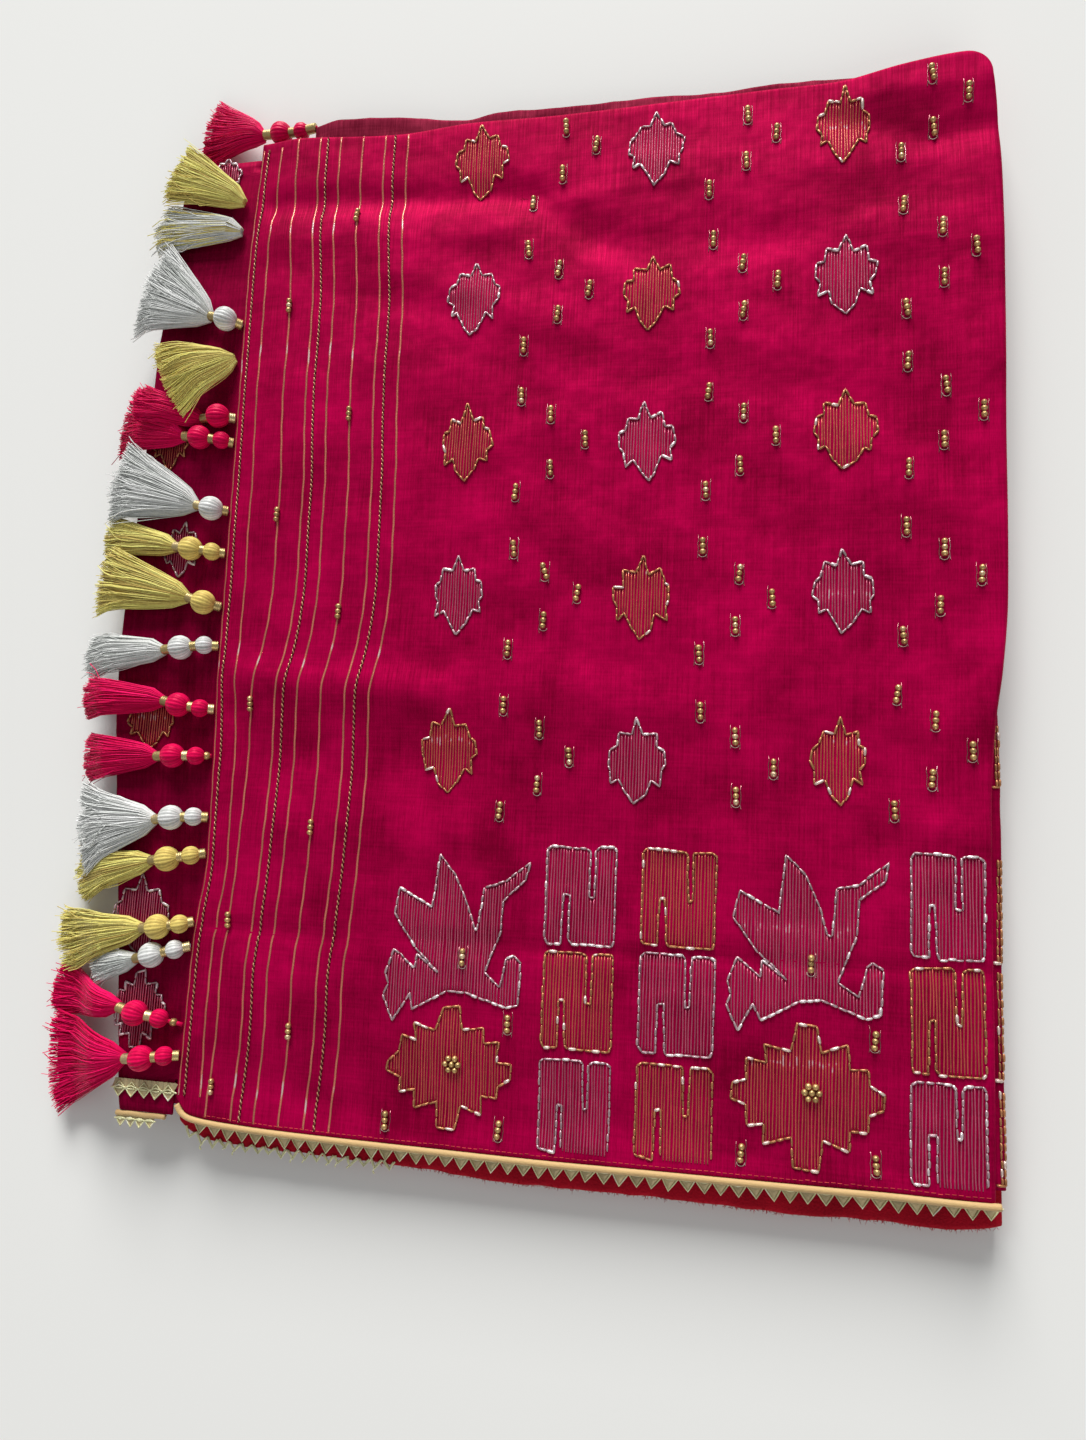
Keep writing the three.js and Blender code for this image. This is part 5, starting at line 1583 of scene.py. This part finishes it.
def fan_shape(half, distance, reach):
    """Half width and half height of a skirt's fan at a distance from its neck."""
    neck = COLLAR_RADIUS * 0.9
    dome = smooth(distance / (HEAD_LENGTH * 0.75))
    past = np.clip(distance / (HEAD_LENGTH + reach), 0, 1.15)
    width = mix(neck, HEAD_RADIUS * 1.1, dome) + (half - HEAD_RADIUS * 1.1) * past ** 0.85
    height = mix(mix(neck, HEAD_RADIUS, dome), 2.3, smooth(past * 1.1))
    return width, height


class Skirt:
    """Where one tassel's threads run: out from its neck, over what it lies on."""

    def __init__(self, row):
        self.colour, _, _, _, neck, end, half, tier, self.low = row
        self.neck = np.array([*neck, 0.0])
        along_x, along_y = end[0] - neck[0], end[1] - neck[1]
        self.heading = unit(np.array([along_x, along_y, 0.0]))
        self.side = np.array([-self.heading[1], self.heading[0], 0.0])
        self.reach = math.hypot(along_x, along_y) - HEAD_LENGTH
        self.half = half * settings("tassel").spread
        self.lift = tier * TIER_RISE
        self.start = rest_height(self.low, HEAD_RADIUS, LOW_HEIGHTS["head"]) - HEAD_RADIUS

    def ground(self, place, distance):
        """Height of the lowest threads, from the bound head down to what they lie on."""
        if self.low:
            under = np.maximum(FLOOR_CLEARANCE, LOW_HEIGHTS["fan"]
                               - LOW_HEIGHTS["fall"] * np.abs(place[:, 0] - self.neck[0]))
        else:
            under = support_height(place[:, 0], place[:, 1])
        return mix(self.start, under + self.lift, smooth(distance / (self.reach * 0.55 + HEAD_LENGTH)))

    def path(self, across, up, length, count=10, drift=0.0, sway=(0.0, 1.0, 0.0), rise=0.0):
        """A thread's line. Across and up run from -1 to 1 over the fan's section."""
        distance = np.linspace(0, HEAD_LENGTH + self.reach * length, count)
        width, height = fan_shape(self.half, distance, self.reach)
        share = np.clip(distance / (HEAD_LENGTH + self.reach), 0, 1.15)
        curl = sway[0] * np.sin(share * sway[1] + sway[2]) * share ** 1.5
        place = (self.neck + self.heading * distance[:, None]
                 + self.side * ((across + drift * share ** 2) * width + curl)[:, None])
        place[:, 2] = self.ground(place, distance) + height * (1 + up) + rise * share ** 2
        return place


def skirt_threads(skirt, count, rng):
    """Lines, widths and tones of a skirt's threads, which hang together in loose locks."""
    locks = rng.normal(0, 1, (LOCKS, 4))
    threads = []
    for _ in range(count):
        turn = rng.uniform(-0.2, 1.2) * math.pi
        radial = math.sqrt(rng.uniform(0.35, 1.0))
        across, up = radial * math.cos(turn), radial * math.sin(turn)
        lock = locks[int(np.clip((across + 1) / 2 * LOCKS + rng.normal(0, 0.25), 0, LOCKS - 1))]
        ragged = RAGGED[skirt.colour]
        length = ((1 - 0.12 * across ** 2) * (1 - ragged * rng.uniform(-0.3, 1.0) ** 3)
                  * (1 + 0.35 * ragged * lock[0]))
        stray = rng.uniform() < STRAYS[skirt.colour]
        sway = (rng.normal(0, 4.2) if stray else rng.normal(lock[1], 0.8),
                4 + lock[2] + rng.normal(0, 2.4 if stray else 0.6), 2 * lock[3] + rng.normal(0, 0.4))
        path = skirt.path(across, up, length * (rng.uniform(0.9, 1.1) if stray else 1.0), STATIONS,
                          0.07 * lock[3] + rng.normal(0, 0.09), sway,
                          abs(rng.normal(0, 1.8 if stray else 0.9)))
        width = np.linspace(1.15, 0.8, STATIONS) * rng.uniform(0.8, 1.3)
        # Each lock is lighter or darker as a whole, over a tone of each thread's own: painted highlight and
        # shade on the clumps.
        tone = np.clip(np.full(STATIONS, rng.normal(0.5 + 0.14 * lock[0], 0.24)), 0, 1)
        threads.append((path, width, tone))
    return threads


def tassel_skirts():
    """The skirts of loose threads, one piece for each tassel over a plain core."""
    options = settings("tassel")

    def skein(name, threads, kind):
        paths, widths, tones = zip(*threads)
        paint = thread(kind + "_floss", getattr(options, kind))
        return strands(name, paths, options.thread_radius, 3, paint, widths, tones)

    turns = np.arange(28) / 28 * 2 * math.pi
    for number, row in enumerate(TASSELS, start=1):
        rng = np.random.default_rng(200 + number)
        skirt = Skirt(row)
        name = f"tassel_{number:02d}"
        slot = THREAD_SLOTS[skirt.colour]
        threads = skirt_threads(skirt, options.threads + int(options.per_width * row[6]), rng)
        if number == MIXED_TASSEL:
            mixed = int(len(threads) * MIXED_SHARE)
            settle(skein(name + "_gold_threads", threads[:mixed], "gold"), THREAD_SLOTS["gold"])
            threads = threads[mixed:]
        settle(skein(name + "_threads", threads, skirt.colour), slot, name)
        rings = np.stack([
            skirt.path(0.84 * math.cos(t), 0.66 * math.sin(t), 0.9 - 0.1 * math.cos(t) ** 2, 14)
            for t in turns], axis=1)
        points, faces = tube(rings)
        # The core is darker than its threads, 0.65 of their colour: painted shade in the gaps between the
        # threads.
        paint = thread(skirt.colour + "_core", scaled(getattr(options, skirt.colour), 0.65), 0.7)
        core = new_piece(name + "_core", points, faces, paint,
                         shade=np.tile(rng.uniform(0.0, 0.8, 28), 14))
        outward(core)
        settle(core, slot)


# ------------------------------------------------------------------ stage

# The camera's place in the stack's millimetres, and its directions.
CAMERA_PLACE = (82.42, -132.26, 506.7)
CAMERA_RIGHT = (0.98043, 0.04454, -0.19177)
CAMERA_UP = (-0.01880, 0.99080, 0.13402)
CAMERA_BACK = (0.19597, -0.12779, 0.97225)


def area_light(name, place, size, power, colour):
    """A square soft light at a place in metres, turned to the saree."""
    light = bpy.data.lights.new(name, "AREA")
    light.shape, light.size, light.energy, light.color = "SQUARE", size, power, colour
    lamp = bpy.data.objects.new(name, light)
    lamp.location = place
    lamp.rotation_euler = Matrix(aim_matrix(-np.array(place, float))).to_euler()
    bpy.context.scene.collection.objects.link(lamp)


def aim_matrix(direction):
    """Rows of a turn that points a lamp's -Z along a direction, which isn't straight down."""
    back = -unit(direction)
    right = unit(np.cross((0.0, 0.0, 1.0), back))
    return np.stack([right, np.cross(back, right), back], 1).tolist()


def stage():
    """Pale floor, soft light from behind and above, and the camera."""
    look = settings("stage")
    scene = bpy.context.scene
    scene.view_settings.view_transform = "Standard"
    mesh = bpy.data.meshes.new("floor")
    far = 3.0
    mesh.from_pydata([(-far, -far, 0), (far, -far, 0), (far, far, 0), (-far, far, 0)], [],
                     [(0, 1, 2, 3)])

    def surface(graph):
        place = graph.node("ShaderNodeTexCoord")["Object"]
        patch = graph.noise(place, 2.2, 2.0)
        return {"Base Color": graph.blend(patch, opaque(scaled(look.floor, 0.985)), opaque(look.floor))}

    floor = bpy.data.objects.new("floor", mesh)
    mesh.materials.append(material("pale_floor", surface, Roughness=0.75, Specular_IOR_Level=0.2))
    scene.collection.objects.link(floor)
    world = bpy.data.worlds.new("soft_sky")
    world.use_nodes = True
    background = world.node_tree.nodes["Background"]
    background.inputs["Color"].default_value = (0.97, 0.985, 1.0, 1.0)
    background.inputs["Strength"].default_value = look.sky
    scene.world = world
    area_light("window", (-2.2, 19.0, 9.0), 10.0, look.window, (1.0, 0.99, 0.97))
    area_light("room", (3.0, -14.0, 8.0), 9.0, look.room, (1.0, 0.97, 0.93))
    camera = bpy.data.cameras.new("camera")
    camera.lens, camera.sensor_width, camera.sensor_fit = 24.0, 36.0, "AUTO"
    camera.clip_start = 0.01
    eye = bpy.data.objects.new("camera", camera)
    turn = Matrix(np.stack([CAMERA_RIGHT, CAMERA_UP, CAMERA_BACK], 1).tolist()).to_4x4()
    eye.matrix_world = Matrix.Translation(metres([CAMERA_PLACE])[0].tolist()) @ turn
    scene.collection.objects.link(eye)
    scene.camera = eye


# ------------------------------------------------------------------ operators

class PieceOperator:
    bl_options = {"REGISTER", "UNDO"}

    def execute(self, context):
        self.make()
        return {"FINISHED"}


class SAREE_OT_stage(PieceOperator, bpy.types.Operator):
    """Set up the floor, the light and the camera"""
    bl_idname = "saree.stage"
    bl_label = "Stage"
    make = staticmethod(stage)


class SAREE_OT_top_panel(PieceOperator, bpy.types.Operator):
    """Make the silk panel that lies on top"""
    bl_idname = "saree.top_panel"
    bl_label = "Top panel"
    make = staticmethod(top_panel)


class SAREE_OT_lower_panels(PieceOperator, bpy.types.Operator):
    """Make the stretches that show below the top panel"""
    bl_idname = "saree.lower_panels"
    bl_label = "Lower panels"
    make = staticmethod(lower_panels)


class SAREE_OT_lining(PieceOperator, bpy.types.Operator):
    """Make the red lining strip and its nap"""
    bl_idname = "saree.lining"
    bl_label = "Lining"
    make = staticmethod(lining_fold)


class SAREE_OT_stack(PieceOperator, bpy.types.Operator):
    """Make the folded layers underneath"""
    bl_idname = "saree.stack"
    bl_label = "Folded layers"
    make = staticmethod(folded_stack)


class SAREE_OT_pipings(PieceOperator, bpy.types.Operator):
    """Make the pipings of the hems"""
    bl_idname = "saree.pipings"
    bl_label = "Pipings"
    make = staticmethod(pipings)


class SAREE_OT_laces(PieceOperator, bpy.types.Operator):
    """Make the toothed laces of the hems"""
    bl_idname = "saree.laces"
    bl_label = "Laces"
    make = staticmethod(laces)


class SAREE_OT_stripes(PieceOperator, bpy.types.Operator):
    """Lay the metal lines and chain threads of the pallu"""
    bl_idname = "saree.stripes"
    bl_label = "Pallu stripes"
    make = staticmethod(zari_stripes)


class SAREE_OT_motifs(PieceOperator, bpy.types.Operator):
    """Embroider the leaves, lotuses, stars and key blocks"""
    bl_idname = "saree.motifs"
    bl_label = "Motifs"
    make = staticmethod(motifs)


class SAREE_OT_beads(PieceOperator, bpy.types.Operator):
    """Sew on the brass beads"""
    bl_idname = "saree.beads"
    bl_label = "Brass beads"
    make = staticmethod(bead_sets)


class SAREE_OT_stems(PieceOperator, bpy.types.Operator):
    """Make the tassels' silk-wrapped beads and collars"""
    bl_idname = "saree.stems"
    bl_label = "Tassel stems"
    make = staticmethod(silk_beads)


class SAREE_OT_skirts(PieceOperator, bpy.types.Operator):
    """Make the tassels' skirts of thread"""
    bl_idname = "saree.skirts"
    bl_label = "Tassel skirts"
    make = staticmethod(tassel_skirts)


OPERATORS = (SAREE_OT_stage, SAREE_OT_top_panel, SAREE_OT_lower_panels, SAREE_OT_lining,
             SAREE_OT_stack, SAREE_OT_pipings, SAREE_OT_laces, SAREE_OT_stripes, SAREE_OT_motifs,
             SAREE_OT_beads, SAREE_OT_stems, SAREE_OT_skirts)
GROUPS = {"silk": SilkSettings, "metal": MetalSettings, "tassel": TasselSettings,
          "stage": StageSettings}


class SAREE_PT_panel(bpy.types.Panel):
    """Sizes, colours and pieces of the saree"""
    bl_idname = "SAREE_PT_panel"
    bl_label = "Saree"
    bl_space_type = "VIEW_3D"
    bl_region_type = "UI"
    bl_category = "Saree"

    def draw(self, context):
        layout = self.layout
        for name, group in GROUPS.items():
            box = layout.box()
            box.label(text=name.capitalize())
            for key in group.__annotations__:
                box.prop(getattr(context.scene, "saree_" + name), key)
        for operator in OPERATORS:
            layout.operator(operator.bl_idname)


def register():
    for group in GROUPS.values():
        bpy.utils.register_class(group)
    for name, group in GROUPS.items():
        setattr(bpy.types.Scene, "saree_" + name, PointerProperty(type=group))
    for operator in (*OPERATORS, SAREE_PT_panel):
        bpy.utils.register_class(operator)


def unregister():
    for operator in reversed((*OPERATORS, SAREE_PT_panel)):
        bpy.utils.unregister_class(operator)
    for name, group in GROUPS.items():
        delattr(bpy.types.Scene, "saree_" + name)
        bpy.utils.unregister_class(group)


def main():
    register()
    for operator in OPERATORS:
        group, name = operator.bl_idname.split(".")
        getattr(getattr(bpy.ops, group), name)()


if __name__ == "__main__":
    main()
